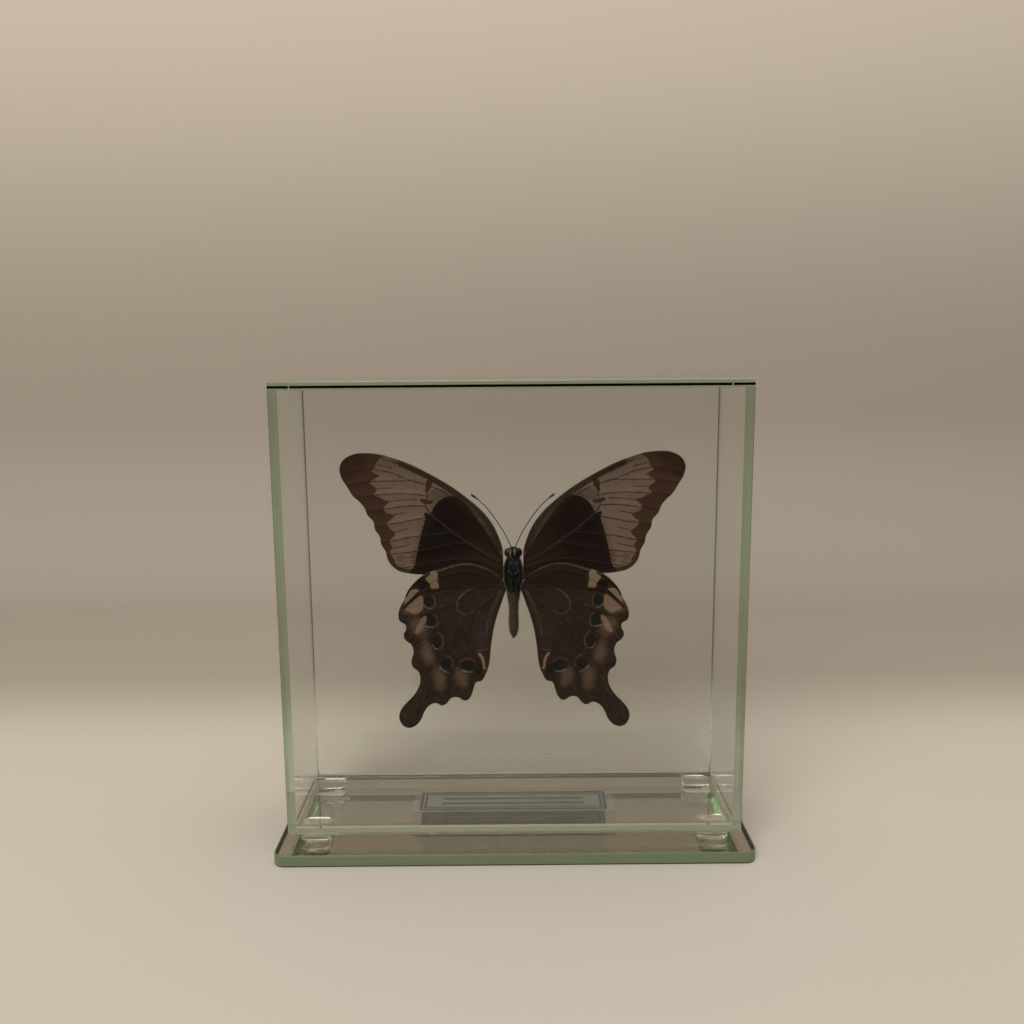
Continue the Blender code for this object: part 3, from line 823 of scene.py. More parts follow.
def forewing_markings(places):
    """How deep each place lies in each marking of the forewing's underside and upper side."""
    stripes = [stroke(places, line, 0.34, 0.35) for line in FORE_STRIPES]
    veins = [stroke(places, line, 0.32, 0.3) for line in FORE_VEINS.values()]
    out, up = places.T
    return {
        "dark": patch(places, FORE_DARK, 0.7),
        "deep": patch(places, FORE_DEEP, 5.0),
        "margin": patch(places, FORE_MARGIN, 0.9),
        "deep_margin": patch(places, FORE_DEEP_MARGIN, 4.0),
        "cell_grey": patch(places, FORE_CELL_GREY, 0.7),
        "cell_marks": together(*[patch(places, outline, 0.5) for outline in FORE_CELL_MARKS]),
        "stripes": together(*stripes),
        "veins": together(*veins),
        "buff": together(*[patch(places, outline, 0.7) for outline in FORE_BUFF]),
        "costal_lines": together(*[stroke(places, line, 0.5, 0.45) for line in FORE_COSTAL_LINES]),
        "cell_line": stroke(places, FORE_VEINS["cell_floor"][:8], 0.42, 0.45),
        "costal_edge": fade(1.0 - distance(places, smooth_line(FORE_VEINS["costa"])), 0.5),
        "root": np.clip(1.25 - np.hypot(out, up) / 13.0, 0, 1),
        "pale_costal": np.clip((up - 17.5 - 0.22 * out) / 5, 0, 1),
        "glow": patch(places, FORE_DARK, 2.6) * fade(up - 1.2, 2.0),
    }


# %% [markdown]
# ## Hindwing markings
# The hindwing is dark brown, darkest along its front. Round its outer edge stands a row of blue-black
# eyespots. Each has a thin brown ring, a pale crescent on its outer side, and beyond it a buff patch
# that fades into the margin. Two cream patches lie at the front corner, a cream streak at the rear one.

# %% Hindwing areas, in millimetres
HIND_FRONT = [(3.0, -2.0), (6.0, 2.0), (12.0, 4.0), (18.0, 3.0), (19.4, 0.4), (19.2, -2.4), (18.8, -4.6),
              (15.0, -4.6), (10.0, -4.3), (6.0, -3.9)]
HIND_CREAM = [
    [(19.9, 0.6), (22.6, -0.3), (23.0, -1.4), (22.2, -2.2), (21.6, -3.1), (21.3, -4.1), (19.4, -3.9),
     (19.7, -2.4)],
    [(24.7, -4.6), (26.2, -4.4), (27.6, -5.4), (28.5, -7.4), (28.2, -8.1), (26.6, -6.6)],
]
HIND_BUFF = [
    [(23.6, -6.5), (24.6, -6.2), (26.4, -7.8), (28.4, -9.6), (27.2, -10.2), (25.8, -11.1), (24.8, -10.7),
     (23.7, -9.5)],
    [(23.0, -11.6), (24.1, -12.2), (25.3, -14.4), (25.8, -16.0), (24.7, -16.0), (23.5, -14.3), (22.8, -12.7)],
]
HIND_LUNULES = [
    ((22.8, -21.6), (1.5, 2.8), -12), ((19.7, -28.6), (1.5, 2.8), -8), ((13.9, -28.4), (1.4, 2.4), -14),
    ((24.9, -14.6), (1.7, 2.8), -30), ((26.6, -9.4), (2.4, 1.6), 0),
]
HIND_FRONT_SPOT = ((23.2, -3.3), (1.5, 1.15), 12)
EYESPOTS = [
    ((22.1, -7.6), (1.2, 1.35), 0), ((21.5, -12.7), (1.15, 1.45), 0), ((20.2, -18.4), (0.95, 1.6), -10),
    ((17.9, -24.7), (1.35, 1.35), 35), ((12.2, -25.1), (1.9, 1.25), -12), ((9.3, -26.0), (0.9, 1.3), 0),
]
HALO = 0.9
CRESCENTS = [
    [(21.6, -9.4), (22.6, -9.3), (23.5, -8.5)],
    [(21.0, -14.5), (22.0, -14.5), (23.3, -14.2)],
    [(19.8, -20.4), (20.7, -20.4), (21.4, -19.2)],
    [(17.3, -27.0), (18.4, -26.5), (19.6, -25.4)],
    [(11.0, -26.8), (12.4, -26.8), (13.6, -26.2)],
]
SPOT_RINGS = [
    [(21.0, -6.0), (20.5, -7.2), (20.7, -8.8), (21.4, -9.6)],
    [(21.2, -10.8), (20.1, -11.8), (19.9, -13.4), (20.4, -14.5)],
    [(19.9, -15.9), (18.8, -17.0), (18.6, -19.0), (19.0, -20.9)],
    [(18.0, -22.3), (16.9, -22.7), (16.2, -23.9), (16.3, -25.4)],
    [(10.2, -24.2), (11.4, -23.2), (13.0, -23.2), (14.3, -24.3)],
    [(7.0, -20.4), (8.4, -20.9), (9.8, -20.9)],
]
HIND_LOOP = [(11.2, -4.3), (12.6, -5.3), (13.9, -6.4), (14.6, -7.9), (14.6, -9.6), (13.8, -10.7),
             (12.5, -11.2), (11.0, -10.6), (10.2, -10.1)]
HIND_FRONT_EDGE = [(3.2, -1.3), (5.0, 0.1), (7.6, 1.3), (11.0, 2.3), (14.5, 2.1), (17.5, 1.2), (20.0, 0.4)]
HIND_BARS = [
    [(19.3, -4.7), (22.0, -4.9), (24.4, -5.4), (26.4, -7.1), (28.8, -9.5)],
    [(21.8, -0.2), (24.4, -2.2), (26.6, -4.0), (28.2, -6.4)],
]
HIND_HAIR_LINES = [
    [(2.8, -4.2), (4.4, -7.6), (5.6, -11.2), (6.3, -14.4)],
    [(3.6, -4.6), (5.4, -8.6), (6.6, -12.6), (7.4, -16.8)],
]
TORNAL_STREAK = [(9.1, -21.9), (8.4, -22.9), (8.0, -24.2), (7.8, -25.8)]


def hindwing_markings(places):
    """How deep each place lies in each marking of the hindwing's underside and upper side."""
    out, up = places.T
    lunules = [spot(places, *lunule, soft=2.6) for lunule in HIND_LUNULES]
    eyespots = [spot(places, *eyespot, soft=0.35) for eyespot in EYESPOTS]
    halo = [spot(places, centre, (wide + HALO, tall + HALO), turn, HALO)
            for centre, (wide, tall), turn in EYESPOTS]
    return {
        "front": patch(places, HIND_FRONT, 0.6),
        "veins": together(*[stroke(places, line, 0.26, 0.3) for line in HIND_VEINS.values()]),
        "cream": together(*[patch(places, outline, 0.45) for outline in HIND_CREAM]),
        "buff": together(*[patch(places, outline, 0.7) for outline in HIND_BUFF]),
        "lunules": together(*lunules),
        "front_spot": spot(places, *HIND_FRONT_SPOT, soft=0.5),
        "halo": together(*halo),
        "eyespots": together(*eyespots),
        "crescents": together(*[stroke(places, line, 0.3, 0.35) for line in CRESCENTS]),
        "rings": together(*[stroke(places, line, 0.32, 0.4) for line in SPOT_RINGS]),
        "loop": stroke(places, HIND_LOOP, 0.34, 0.35),
        "front_edge": stroke(places, HIND_FRONT_EDGE, 0.45, 0.4),
        "bars": together(*[stroke(places, line, 0.6, 0.5) for line in HIND_BARS]),
        "hair_lines": together(*[stroke(places, line, 0.28, 0.35) for line in HIND_HAIR_LINES]),
        "tornal": stroke(places, TORNAL_STREAK, 0.75, 0.4),
        "tornal_red": spot(places, (8.0, -24.4), (1.6, 3.0), 10, 1.2),
        # A painted sheen: the purplish gloss of the inner hindwing, put into the scales' colour.
        "sheen": spot(places, (8.6, -15.6), (2.2, 4.6), 0, 3.0),
        "outer": np.clip((np.hypot(out - 6, up + 8) - 17.5) / 5, 0, 1),
        "glow": spot(places, (10.5, -9.0), (8.5, 14.5), 8, 4.0),
    }


# %% [markdown]
# ## Wing shape
# A wing is a film about a tenth of a millimetre thick, pleated along its veins. The solid has the right
# outline and is too thick. A copy of it is remeshed in small even squares, pressed flat to a film, and
# its points are then moved to make ridges along the veins, with shallow troughs between them. The veins
# themselves are fine tapered tubes that stand out on both sides.

# %% Wing
MESH_STEP = 0.19 * MM
FILM = 0.3
RIDGE = 0.16
RIDGE_WIDTH = 0.9
CAMBER = 0.35
WING_REACH = 45
VEIN_REACH = 42
RAY_SPREAD = 20
VEIN_ROOT = 0.14
VEIN_TIP = 0.06


def ridges(places, veins):
    """Height in millimetres towards the viewer: a ridge along each vein, and the wing's gentle bow."""
    lines = [smooth_line(points, 4) for points in veins.values()]
    nearest = np.minimum.reduce([distance(places, line) for line in lines])
    bow = (np.hypot(places[:, 0], places[:, 1]) / WING_REACH) ** 2
    return RIDGE * np.exp(-((nearest / RIDGE_WIDTH) ** 2)) - CAMBER * bow


def vein_tube(points, side, middle_y, veins):
    """A tapered tube along a vein."""
    line = smooth_line(points, 5)
    lift = ridges(line, veins)
    places = [specimen + Vector((side * out, 0, up)) * MM for out, up in line]
    places = [(place.x, middle_y - high * MM, place.z) for place, high in zip(places, lift)]
    reach = [min(1.0, math.hypot(out, up) / VEIN_REACH) for out, up in line]
    return tube(places, [VEIN_ROOT + (VEIN_TIP - VEIN_ROOT) * far for far in reach], vein_skin)


def store(mesh, name, values):
    """Keeps one value for each point of the mesh, where a material can read it by name."""
    mesh.attributes.new(name, "FLOAT", "POINT").data.foreach_set("value", np.asarray(values, np.float32))


def make_wing(name, node, side, veins, markings, root, materials, slot):
    """A pleated film in the outline of the node, with its markings as attributes and its veins joined on."""
    low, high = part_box(node)
    middle_y = (low.y + high.y) / 2
    wing = bpy.data.objects.new(name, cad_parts[node].data.copy())
    wing.data.materials.clear()
    bpy.context.scene.collection.objects.link(wing)
    select_only(wing)
    bpy.ops.object.mode_set(mode="EDIT")
    bpy.ops.mesh.select_all(action="SELECT")
    bpy.ops.mesh.remove_doubles(threshold=0.001 * MM)
    bpy.ops.object.mode_set(mode="OBJECT")
    squares = wing.modifiers.new("squares", "REMESH")
    squares.mode = "VOXEL"
    squares.voxel_size = MESH_STEP
    bpy.ops.object.modifier_apply(modifier="squares")
    mesh = wing.data
    points = np.empty(len(mesh.vertices) * 3, np.float32)
    mesh.vertices.foreach_get("co", points)
    points = points.reshape(-1, 3)
    flat = np.stack([side * (points[:, 0] - specimen.x), points[:, 2] - specimen.z], axis=1)
    places = flat.astype(float) / MM
    lift = ridges(places, veins)
    points[:, 1] = middle_y + (points[:, 1] - middle_y) * FILM - lift * MM
    mesh.vertices.foreach_set("co", points.ravel())
    for marking, depth in markings(places).items():
        store(mesh, marking, depth)
    out, up = (places - np.array(root)).T
    rays = np.stack([np.arctan2(up, out) * RAY_SPREAD, np.hypot(out, up)], axis=1).astype(np.float32)
    corners = np.empty(len(mesh.loops), np.int32)
    mesh.loops.foreach_get("vertex_index", corners)
    mesh.uv_layers.new(name="rays").data.foreach_set("uv", rays[corners].ravel())
    mesh.update()
    for material in materials:
        mesh.materials.append(material)
    facing = np.empty(len(mesh.polygons) * 3, np.float32)
    mesh.polygons.foreach_get("normal", facing)
    mesh.polygons.foreach_set("material_index", (facing.reshape(-1, 3)[:, 1] > 0).astype(np.int32))
    bpy.ops.object.shade_smooth()
    tubes = [vein_tube(line, side, middle_y, veins) for line in veins.values()]
    return finish_piece(joined(name, [wing, *tubes]), slot, node)


# %% [markdown]
# ## Scales
# A wing's colour is dust: flat scales about a tenth of a millimetre long, in rows, each of one colour. At
# the edge of a marking, scales of both colours mix. So each marking's depth gets a fine grain added
# before it is cut off sharply, which frays its edge. Longer streaks run out along the wing, and single
# pale scales are scattered over it. The scales are matt and slightly silky.

# %% Scale material
GRAIN = 0.22
STREAK = (0.45, 2.6)
SPECK = 0.3
SPECK_FROM = 0.6
SPECK_FULL = 0.72
FRAY = 0.9
SHADE = (1.14, 1.4)


def scale_material(name, ground, layers, specks, speck_colour, roughness=0.62, metallic=None):
    """Scales: a ground colour, then layers of (marking, colour, strength, edge), then scattered pale scales.

    metallic names the marking whose depth makes the scales shine like metal.
    """
    material, tree, shader, _ = new_material(name)
    rays = add(tree, "ShaderNodeUVMap", uv_map="rays")
    fine = add(tree, "ShaderNodeTexNoise", {"Vector": rays.outputs[0], "Scale": 1 / GRAIN, "Detail": 2.0})
    drawn = add(tree, "ShaderNodeMapping",
                {"Vector": rays.outputs[0], "Scale": (1 / STREAK[0], 1 / STREAK[1], 1.0)})
    long = add(tree, "ShaderNodeTexNoise", {"Vector": drawn.outputs[0], "Scale": 1.0, "Detail": 4.0})
    both = add(tree, "ShaderNodeMath", {0: fine.outputs[0], 1: long.outputs[0]}, operation="ADD")
    fray = add(tree, "ShaderNodeMath", {0: both.outputs[0], 1: 1.0}, operation="SUBTRACT")
    colour = linear(ground)
    for marking, hex_colour, strength, edge in layers:
        depth = add(tree, "ShaderNodeAttribute", attribute_name=marking)
        frayed = add(tree, "ShaderNodeMath", {0: fray.outputs[0], 1: FRAY, 2: depth.outputs["Fac"]},
                     operation="MULTIPLY_ADD")
        cut = add(tree, "ShaderNodeMapRange", {0: frayed.outputs[0], 1: 0.5 - edge / 2, 2: 0.5 + edge / 2,
                                               3: 0.0, 4: strength}, interpolation_type="SMOOTHSTEP")
        colour = add(tree, "ShaderNodeMix", {0: cut.outputs[0], 6: colour, 7: linear(hex_colour)},
                     data_type="RGBA").outputs[2]
    scatter = add(tree, "ShaderNodeTexNoise", {"Vector": rays.outputs[0], "Scale": 1 / SPECK, "Detail": 1.0})
    single = add(tree, "ShaderNodeMapRange",
                 {0: scatter.outputs[0], 1: SPECK_FROM, 2: SPECK_FULL, 3: 0.0, 4: specks})
    colour = add(tree, "ShaderNodeMix", {0: single.outputs[0], 6: colour, 7: linear(speck_colour)},
                 data_type="RGBA").outputs[2]
    shade = add(tree, "ShaderNodeMapRange", {0: long.outputs[0], 1: 0.3, 2: 0.7, 3: SHADE[0], 4: SHADE[1]})
    tinted = add(tree, "ShaderNodeVectorMath", {0: colour, "Scale": shade.outputs[0]}, operation="SCALE")
    tree.links.new(tinted.outputs[0], shader.inputs["Base Color"])
    relief = add(tree, "ShaderNodeBump", {"Height": both.outputs[0], "Distance": 0.05 * MM, "Strength": 0.55})
    tree.links.new(relief.outputs[0], shader.inputs["Normal"])
    shader.inputs["Roughness"].default_value = roughness
    shader.inputs["Specular IOR Level"].default_value = 0.12
    if metallic:
        metal = add(tree, "ShaderNodeAttribute", attribute_name=metallic)
        tree.links.new(metal.outputs["Fac"], shader.inputs["Metallic"])
    return material


# %% Scale colours
fore_under = scale_material("forewing_underside_scales", "A08572", [
    ("pale_costal", "8A7361", 0.8, 1.2), ("costal_edge", "3F3123", 0.85, 0.6),
    ("costal_lines", "5F4C3C", 0.6, 0.7), ("cell_grey", "7C6859", 0.85, 0.6),
    ("stripes", "5A4234", 0.75, 0.8), ("margin", "543A28", 0.95, 0.45),
    ("deep_margin", "432D20", 0.8, 1.4), ("veins", "3A281D", 0.75, 0.8), ("buff", "82664D", 0.8, 0.8),
    ("cell_marks", "422C1D", 0.9, 0.5), ("dark", "2E1D13", 1.0, 0.3), ("deep", "1C0F09", 0.85, 1.4),
    ("root", "422C1D", 0.85, 1.2), ("cell_line", "4F3F33", 0.75, 0.8),
], 0.3, "5E4737")
hind_under = scale_material("hindwing_underside_scales", "392C22", [
    # The purplish spot is a painted sheen.
    ("outer", "3C2F25", 0.8, 1.0), ("sheen", "4C3D3C", 0.6, 1.5), ("front", "2A1B13", 0.95, 0.4),
    ("veins", "2C1F17", 0.5, 0.8), ("halo", "34271F", 0.6, 1.0), ("lunules", "7E624E", 1.0, 1.3),
    ("buff", "AA8A6D", 0.9, 0.7), ("cream", "A88E6E", 0.95, 0.4), ("bars", "2A1A10", 0.95, 0.5),
    ("front_spot", "23110A", 1.0, 0.4), ("tornal_red", "4A2A1C", 0.7, 1.0), ("tornal", "B08E6C", 0.95, 0.5),
    ("rings", "745A4E", 0.8, 0.7), ("loop", "7C6C5A", 0.8, 0.7), ("eyespots", "2A2722", 1.0, 0.35),
    ("crescents", "8E857E", 0.8, 0.7), ("front_edge", "75665A", 0.75, 0.7),
    ("hair_lines", "6E5E4B", 0.75, 0.8),
], 0.35, "5A4A3C")
fore_upper = scale_material("forewing_upperside_scales", "1A1512", [
    ("margin", "201914", 0.9, 0.5), ("dark", "14110F", 1.0, 0.5), ("glow", "1C6A66", 0.9, 0.8),
    ("veins", "0F0D0C", 0.9, 0.7),
], 0.12, "39433E", 0.5, metallic="glow")
hind_upper = scale_material("hindwing_upperside_scales", "181311", [
    ("glow", "1B6E74", 0.9, 0.8), ("lunules", "2A4E55", 0.7, 1.2), ("veins", "0F0D0C", 0.9, 0.7),
], 0.12, "39433E", 0.5, metallic="glow")

VEIN_KNOT = 0.4 * MM
vein_skin = mottled("vein_chitin", "2A1E18", "4A362A", VEIN_KNOT, 0.55)[0]
print("scales:", fore_under.name, hind_under.name, fore_upper.name, hind_upper.name)

# %% Four wings
FORE_ROOT = (1.2, 0.8)
HIND_ROOT = (1.2, -1.6)
SIDES = ((-1, "left"), (1, "right"))

for side, word in SIDES:
    make_wing(f"{word}_forewing", f"forewing_{word}", side, FORE_VEINS, forewing_markings, FORE_ROOT,
              (fore_under, fore_upper), "forewing_scales")
    make_wing(f"{word}_hindwing", f"hindwing_{word}", side, HIND_VEINS, hindwing_markings, HIND_ROOT,
              (hind_under, hind_upper), "hindwing_scales")

# %% [markdown]
# ## Body
# The body is a row of rounded lumps: the head with two large eyes, the thorax that holds the wings, and
# the abdomen, ringed and waisted. Balls give the lumps. The abdomen is a circle that is pulled out and
# resized ring by ring, down to its tip.

# %% Body materials
SKIN_RELIEF = 0.05 * MM
FACET = 0.07 * MM
FACET_DOME = 0.01 * MM


def body_material(name, dark, pale, grain, roughness):
    """Two tones in grains of the given size in millimetres, which also stand up a little."""
    material, tree, shader, _, grains = mottled(name, dark, pale, grain * MM, roughness, 4.0, (0.35, 0.65))
    relief = add(tree, "ShaderNodeBump", {"Height": grains, "Distance": SKIN_RELIEF, "Strength": 0.6})
    tree.links.new(relief.outputs[0], shader.inputs["Normal"])
    return material, tree, shader


skin = body_material("thorax_skin", "0E0D0A", "1C1812", 0.5, 0.7)[0]
belly = body_material("abdomen_scales", "5A4B39", "7C694D", 0.35, 0.65)[0]
cream_scales = body_material("palp_scales", "8A7C66", "B5A78D", 0.3, 0.6)[0]
horn = body_material("leg_horn", "171A18", "5A5F58", 0.6, 0.4)[0]
eye_skin, tree, shader = body_material("eye_facets", "0D0A08", "1E1510", 1.2, 0.12)
place = add(tree, "ShaderNodeTexCoord")
facet = add(tree, "ShaderNodeTexVoronoi", {"Vector": place.outputs["Object"], "Scale": 1 / FACET})
dome = add(tree, "ShaderNodeBump", {"Height": facet.outputs[0], "Distance": FACET_DOME, "Strength": 0.4},
           invert=True)
tree.links.new(dome.outputs[0], shader.inputs["Normal"])
hair_skin, tree, shader, _ = new_material("body_hair")
strand = add(tree, "ShaderNodeNewGeometry")
tint = add(tree, "ShaderNodeMix",
           {0: strand.outputs["Random Per Island"], 6: linear("120F0A"), 7: linear("33271A")},
           data_type="RGBA")
tree.links.new(tint.outputs[2], shader.inputs["Base Color"])
shader.inputs["Roughness"].default_value = 0.5
print("body materials:", skin.name, belly.name, cream_scales.name, horn.name, eye_skin.name, hair_skin.name)

# %% Balls
THORAX = ((0, -0.6, -0.2), (2.2, 2.8, 5.1))
HEAD = ((0, -0.5, 5.2), (1.7, 1.65, 1.65))
EYE = ((1.3, -0.6, 5.3), (1.05, 1.15, 1.25))
PALPS = [((-0.72, -1.95, 5.3), (0.26, 0.4, 1.35)), ((0.28, -2.0, 5.7), (0.26, 0.4, 1.0))]
FOLDED_FEET = ((0.75, -1.4, -5.6), (0.75, 0.6, 0.8))


def ball(centre, radii, material):
    """A ball at a place on the drawing, stretched to its three radii."""
    select_only()
    bpy.ops.mesh.primitive_uv_sphere_add(segments=32, ring_count=20, radius=MM,
                                         location=specimen + Vector(centre) * MM)
    piece = bpy.context.object
    piece.scale = radii
    bpy.ops.object.transform_apply(location=True, rotation=True, scale=True)
    bpy.ops.object.shade_smooth()
    piece.data.materials.append(material)
    return piece


thorax = ball(*THORAX, skin)
body_parts = [thorax, ball(*HEAD, skin), ball(*FOLDED_FEET, horn)]
body_parts += [ball((side * EYE[0][0], *EYE[0][1:]), EYE[1], eye_skin) for side, _ in SIDES]
body_parts += [ball(*palp, cream_scales) for palp in PALPS]
print(len(body_parts), "lumps")

# %% Abdomen
ABDOMEN_TOP = -3.0
ABDOMEN = [(-4.2, 1.6), (-5.5, 1.62), (-8.0, 1.2), (-10.5, 1.03), (-13.5, 1.22), (-15.5, 1.02), (-16.8, 0.58),
           (-17.6, 0.12)]
ABDOMEN_Y = -0.3
ABDOMEN_SIDES = 28
ABDOMEN_RINGS = 8
RING_STEPS = 6
RING_SWELL = 0.05

steps = ABDOMEN_RINGS * RING_STEPS
heights = [ABDOMEN_TOP + (ABDOMEN[-1][0] - ABDOMEN_TOP) * i / steps for i in range(steps + 1)]
table_z, table_r = np.array([(z, r) for z, r in reversed(ABDOMEN)]).T
swell = [1 + RING_SWELL * abs(math.sin(math.pi * i / RING_STEPS)) for i in range(steps + 1)]
radii = [float(np.interp(z, table_z, table_r)) * wide for z, wide in zip(heights, swell)]
select_only()
bpy.ops.mesh.primitive_circle_add(vertices=ABDOMEN_SIDES, radius=radii[0] * MM, fill_type="NGON",
                                  location=specimen + Vector((0, ABDOMEN_Y, heights[0])) * MM)
abdomen = bpy.context.object
bpy.ops.object.mode_set(mode="EDIT")
bpy.ops.mesh.select_all(action="SELECT")
for before, after, r0, r1 in zip(heights, heights[1:], radii, radii[1:]):
    bpy.ops.mesh.extrude_region_move(TRANSFORM_OT_translate={"value": (0, 0, (after - before) * MM)})
    centre = specimen + Vector((0, ABDOMEN_Y, after)) * MM
    bpy.ops.transform.resize(value=(r1 / r0, r1 / r0, 1), center_override=centre)
bpy.ops.mesh.select_all(action="SELECT")
bpy.ops.mesh.normals_make_consistent(inside=False)
bpy.ops.object.mode_set(mode="OBJECT")
bpy.ops.object.transform_apply(location=True, rotation=True, scale=True)
bpy.ops.object.shade_smooth()
abdomen.data.materials.append(belly)

# %% [markdown]
# ## Legs and tongue
# The six legs are folded against the thorax, knee up, with the thin jointed foot hanging down. The tongue
# lies coiled between the palps. All of them are tubes, and the legs swell at their joints.

# %% Legs and tongue
# For each leg: the hip, the knee and the foot, outwards from the midline and up.
LEGS = [
    ((0.4, 2.9), (0.9, 3.5), (1.0, 1.0)),
    ((0.4, 0.4), (1.5, 1.0), (1.4, -3.4)),
    ((0.4, -1.6), (0.8, -1.0), (0.5, -5.2)),
]
LEG_STEPS = 14
LEG_LIFT = 0.2
THIGH_THICK = (0.27, 0.2)
SHIN_THICK = (0.2, 0.08)
JOINT_SWELL = 0.025
JOINTS = 3
TONGUE_MIDDLE = (-0.2, -2.35, 3.6)
TONGUE_INNER = 0.16
TONGUE_GROWTH = 0.011
TONGUE_TURN = 0.5
TONGUE_POINTS = 34
TONGUE_TILT = 0.1
TONGUE_THICK = 0.07


def on_thorax(out, up, lift):
    """The place in front of the thorax's underside, raised from its surface by lift."""
    (_, middle_y, middle_z), (wide, deep, tall) = THORAX
    inside = max(0.05, 1 - (out / wide) ** 2 - ((up - middle_z) / tall) ** 2)
    return specimen + Vector((out, middle_y - deep * math.sqrt(inside) - lift, up)) * MM


def leg_bone(side, start, end, ends_thick):
    """One leg bone along the thorax, from start to end, which swells at its joints."""
    thick, thin = ends_thick
    steps = [i / LEG_STEPS for i in range(LEG_STEPS + 1)]
    lines = [(start[0] + (end[0] - start[0]) * t, start[1] + (end[1] - start[1]) * t) for t in steps]
    places = [on_thorax(side * out, up, LEG_LIFT) for out, up in lines]
    radii = [thick + (thin - thick) * t + JOINT_SWELL * math.cos(2 * math.pi * JOINTS * t) for t in steps]
    return tube(places, radii, horn, 2)


for side, _ in SIDES:
    for hip, knee, foot in LEGS:
        body_parts += [leg_bone(side, hip, knee, THIGH_THICK), leg_bone(side, knee, foot, SHIN_THICK)]
tongue = specimen + Vector(TONGUE_MIDDLE) * MM
coil = [(TONGUE_INNER + TONGUE_GROWTH * i, TONGUE_TURN * i) for i in range(TONGUE_POINTS)]
coil_places = [tongue + Vector((TONGUE_TILT * r, r * math.cos(a), r * math.sin(a))) * MM for r, a in coil]
body_parts.append(tube(coil_places, [TONGUE_THICK] * len(coil), horn, 1))
print(len(body_parts), "body parts with legs and tongue")

# %% [markdown]
# ## Hair
# The thorax and head are furry and the abdomen is downy. Geometry nodes scatter hairs over the skin.
# Each is a thin straight blade, which leans towards the tail with a little disorder. Real hairs would be far
# more and far finer; these give the soft broken outline.

# %% Hair
HAIR_THICK = 0.035
HAIR_LEAN = 1.1
HAIR_DISORDER = 0.45

select_only()
bpy.ops.mesh.primitive_cone_add(vertices=3, radius1=HAIR_THICK * MM, radius2=0, depth=MM,
                                location=(0, 0, MM / 2))
blade = bpy.context.object
bpy.ops.object.transform_apply(location=True, rotation=True, scale=True)
blade.data.materials.append(hair_skin)


def hairs(skin_piece, per_mm2, length, seed):
    """Hairs on a copy of a piece, as their own mesh."""
    select_only(skin_piece)
    bpy.ops.object.duplicate()
    coat = bpy.context.object
    group = bpy.data.node_groups.new("hairs", "GeometryNodeTree")
    group.interface.new_socket("Geometry", in_out="INPUT", socket_type="NodeSocketGeometry")
    group.interface.new_socket("Geometry", in_out="OUTPUT", socket_type="NodeSocketGeometry")
    source = add(group, "NodeGroupInput")
    spread = add(group, "GeometryNodeDistributePointsOnFaces",
                 {"Mesh": source.outputs[0], "Density": per_mm2 / MM**2, "Seed": seed})
    wild = add(group, "FunctionNodeRandomValue",
               {0: (-HAIR_DISORDER,) * 3, 1: (HAIR_DISORDER,) * 3, "Seed": seed}, data_type="FLOAT_VECTOR")
    lean = add(group, "ShaderNodeVectorMath", {0: spread.outputs["Normal"], 1: (0, 0, -HAIR_LEAN)})
    aim = add(group, "ShaderNodeVectorMath", {0: lean.outputs[0], 1: wild.outputs[0]})
    turn = add(group, "FunctionNodeAlignRotationToVector", {"Vector": aim.outputs[0]}, axis="Z")
    size = add(group, "FunctionNodeRandomValue", {2: length * 0.6, 3: length * 1.3, "Seed": seed + 1})
    tall = add(group, "ShaderNodeCombineXYZ", {0: 1.0, 1: 1.0, 2: size.outputs[1]})
    shape = add(group, "GeometryNodeObjectInfo", {"Object": blade})
    plant = add(group, "GeometryNodeInstanceOnPoints",
                {"Points": spread.outputs["Points"], "Instance": shape.outputs["Geometry"],
                 "Rotation": turn.outputs[0], "Scale": tall.outputs[0]})
    real = add(group, "GeometryNodeRealizeInstances", {0: plant.outputs[0]})
    add(group, "NodeGroupOutput", {0: real.outputs[0]})
    coat.modifiers.new("hairs", "NODES").node_group = group
    bpy.ops.object.modifier_apply(modifier="hairs")
    print("hair", len(coat.data.polygons), "faces")
    return coat


coats = [hairs(thorax, 26, 1.1, 1), hairs(body_parts[1], 20, 0.5, 2), hairs(abdomen, 14, 0.55, 3)]
finish_piece(joined("furry_body", [*body_parts, abdomen, *coats]), "body_hair", "butterfly_body")
bpy.data.objects.remove(blade)

# %% [markdown]
# ## Antennae
# An antenna is a thread of some forty short rings that thickens to a club at its end. One tube with a
# radius that pulses from ring to ring, four points to a ring, gives both.

# %% Antennae
ANTENNA_PATH = [(0.5, -0.9, 6.9), (2.6, -1.3, 11.2), (5.5, -1.6, 15.7), (8.2, -1.7, 18.8), (10.6, -1.7, 20.7)]
ANTENNA_THICK = 0.115
CLUB_THICK = 0.3
CLUB_START = 0.82
CLUB_ROUND = 0.62
TIP_START = 0.985
TIP_THICK = 0.7
RING_PULSE = 0.1
POINTS_PER_SPAN = 42

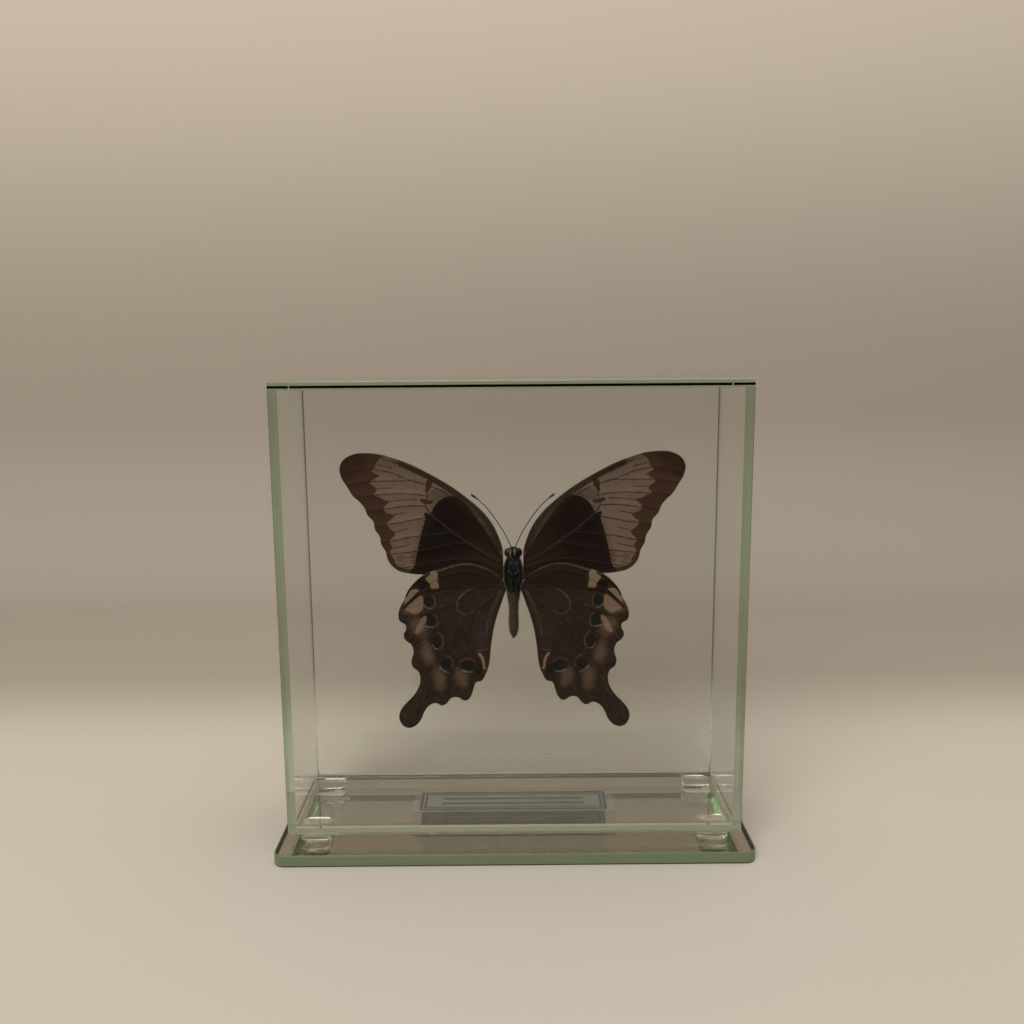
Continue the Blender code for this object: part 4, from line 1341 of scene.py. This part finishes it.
antenna_horn = body_material("antenna_horn", "1A130E", "4A3A2A", 0.8, 0.45)[0]
line = smooth_line([(x, z) for x, _, z in ANTENNA_PATH], POINTS_PER_SPAN)
depth = smooth_line([(y, 0) for _, y, _ in ANTENNA_PATH], POINTS_PER_SPAN)[:, 0]
for side, word in SIDES:
    places, radii = [], []
    for i, ((out, up), y) in enumerate(zip(line, depth)):
        t = i / (len(line) - 1)
        club = max(0.0, (t - CLUB_START) / (1 - CLUB_START))
        bulge = math.sin(math.pi * min(1.0, club * CLUB_ROUND))
        body = ANTENNA_THICK + (CLUB_THICK - ANTENNA_THICK) * bulge
        tip = 1.0 if t < TIP_START else TIP_THICK
        places.append(specimen + Vector((side * out, y, up)) * MM)
        radii.append(body * tip * (1 + RING_PULSE * math.cos(i * math.pi / 2)))
    thread = tube(places, radii, antenna_horn, 2)
    thread.name = f"{word}_antenna"
    finish_piece(thread, "antenna_horn", f"antenna_{word}")

# %% [markdown]
# ## Peg
# A clear rod holds the butterfly off the rear pane. It hides behind the thorax. Drops of clear glue
# spread round both its ends, so its circle is pulled out in steps, wide at the glass and at the body.

# %% Clear rod
PEG_STEPS = [(0.0, 2.1), (0.25, 1.6), (0.8, 1.3), (1.6, 1.2)]
PEG_SIDES = 32

acrylic = clear_plastic("clear_acrylic", 2 * MM, 0.4, 0.03)[0]
peg_low, peg_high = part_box("support_peg")
peg_end = rear_low.y - GLUE
lengths = [y * MM + peg_low.y for y, _ in PEG_STEPS] + [peg_end - y * MM for y, _ in reversed(PEG_STEPS)]
sizes = [r for _, r in PEG_STEPS] + [r for _, r in reversed(PEG_STEPS)]
middle = (peg_low + peg_high) / 2
select_only()
bpy.ops.mesh.primitive_circle_add(vertices=PEG_SIDES, radius=sizes[0] * MM, fill_type="NGON",
                                  rotation=(math.pi / 2, 0, 0), location=(middle.x, lengths[0], middle.z))
peg = bpy.context.object
bpy.ops.object.transform_apply(location=True, rotation=True, scale=True)
bpy.ops.object.mode_set(mode="EDIT")
bpy.ops.mesh.select_all(action="SELECT")
for y0, y1, r0, r1 in zip(lengths, lengths[1:], sizes, sizes[1:]):
    bpy.ops.mesh.extrude_region_move(TRANSFORM_OT_translate={"value": (0, y1 - y0, 0)})
    bpy.ops.transform.resize(value=(r1 / r0, 1, r1 / r0), center_override=(middle.x, y1, middle.z))
bpy.ops.mesh.select_all(action="SELECT")
bpy.ops.mesh.normals_make_consistent(inside=False)
bpy.ops.object.mode_set(mode="OBJECT")
bpy.ops.object.shade_smooth_by_angle(angle=math.radians(50))
peg.data.materials.append(acrylic)
peg.name = "clear_rod"
finish_piece(peg, "clear_acrylic", "support_peg")

# %% [markdown]
# ## Size of the visible pieces
# The size of the box round the visible pieces is printed, in millimetres.

# %% Finish
low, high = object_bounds()
print("visible pieces measure, in mm:", [round(v / MM, 1) for v in high - low])
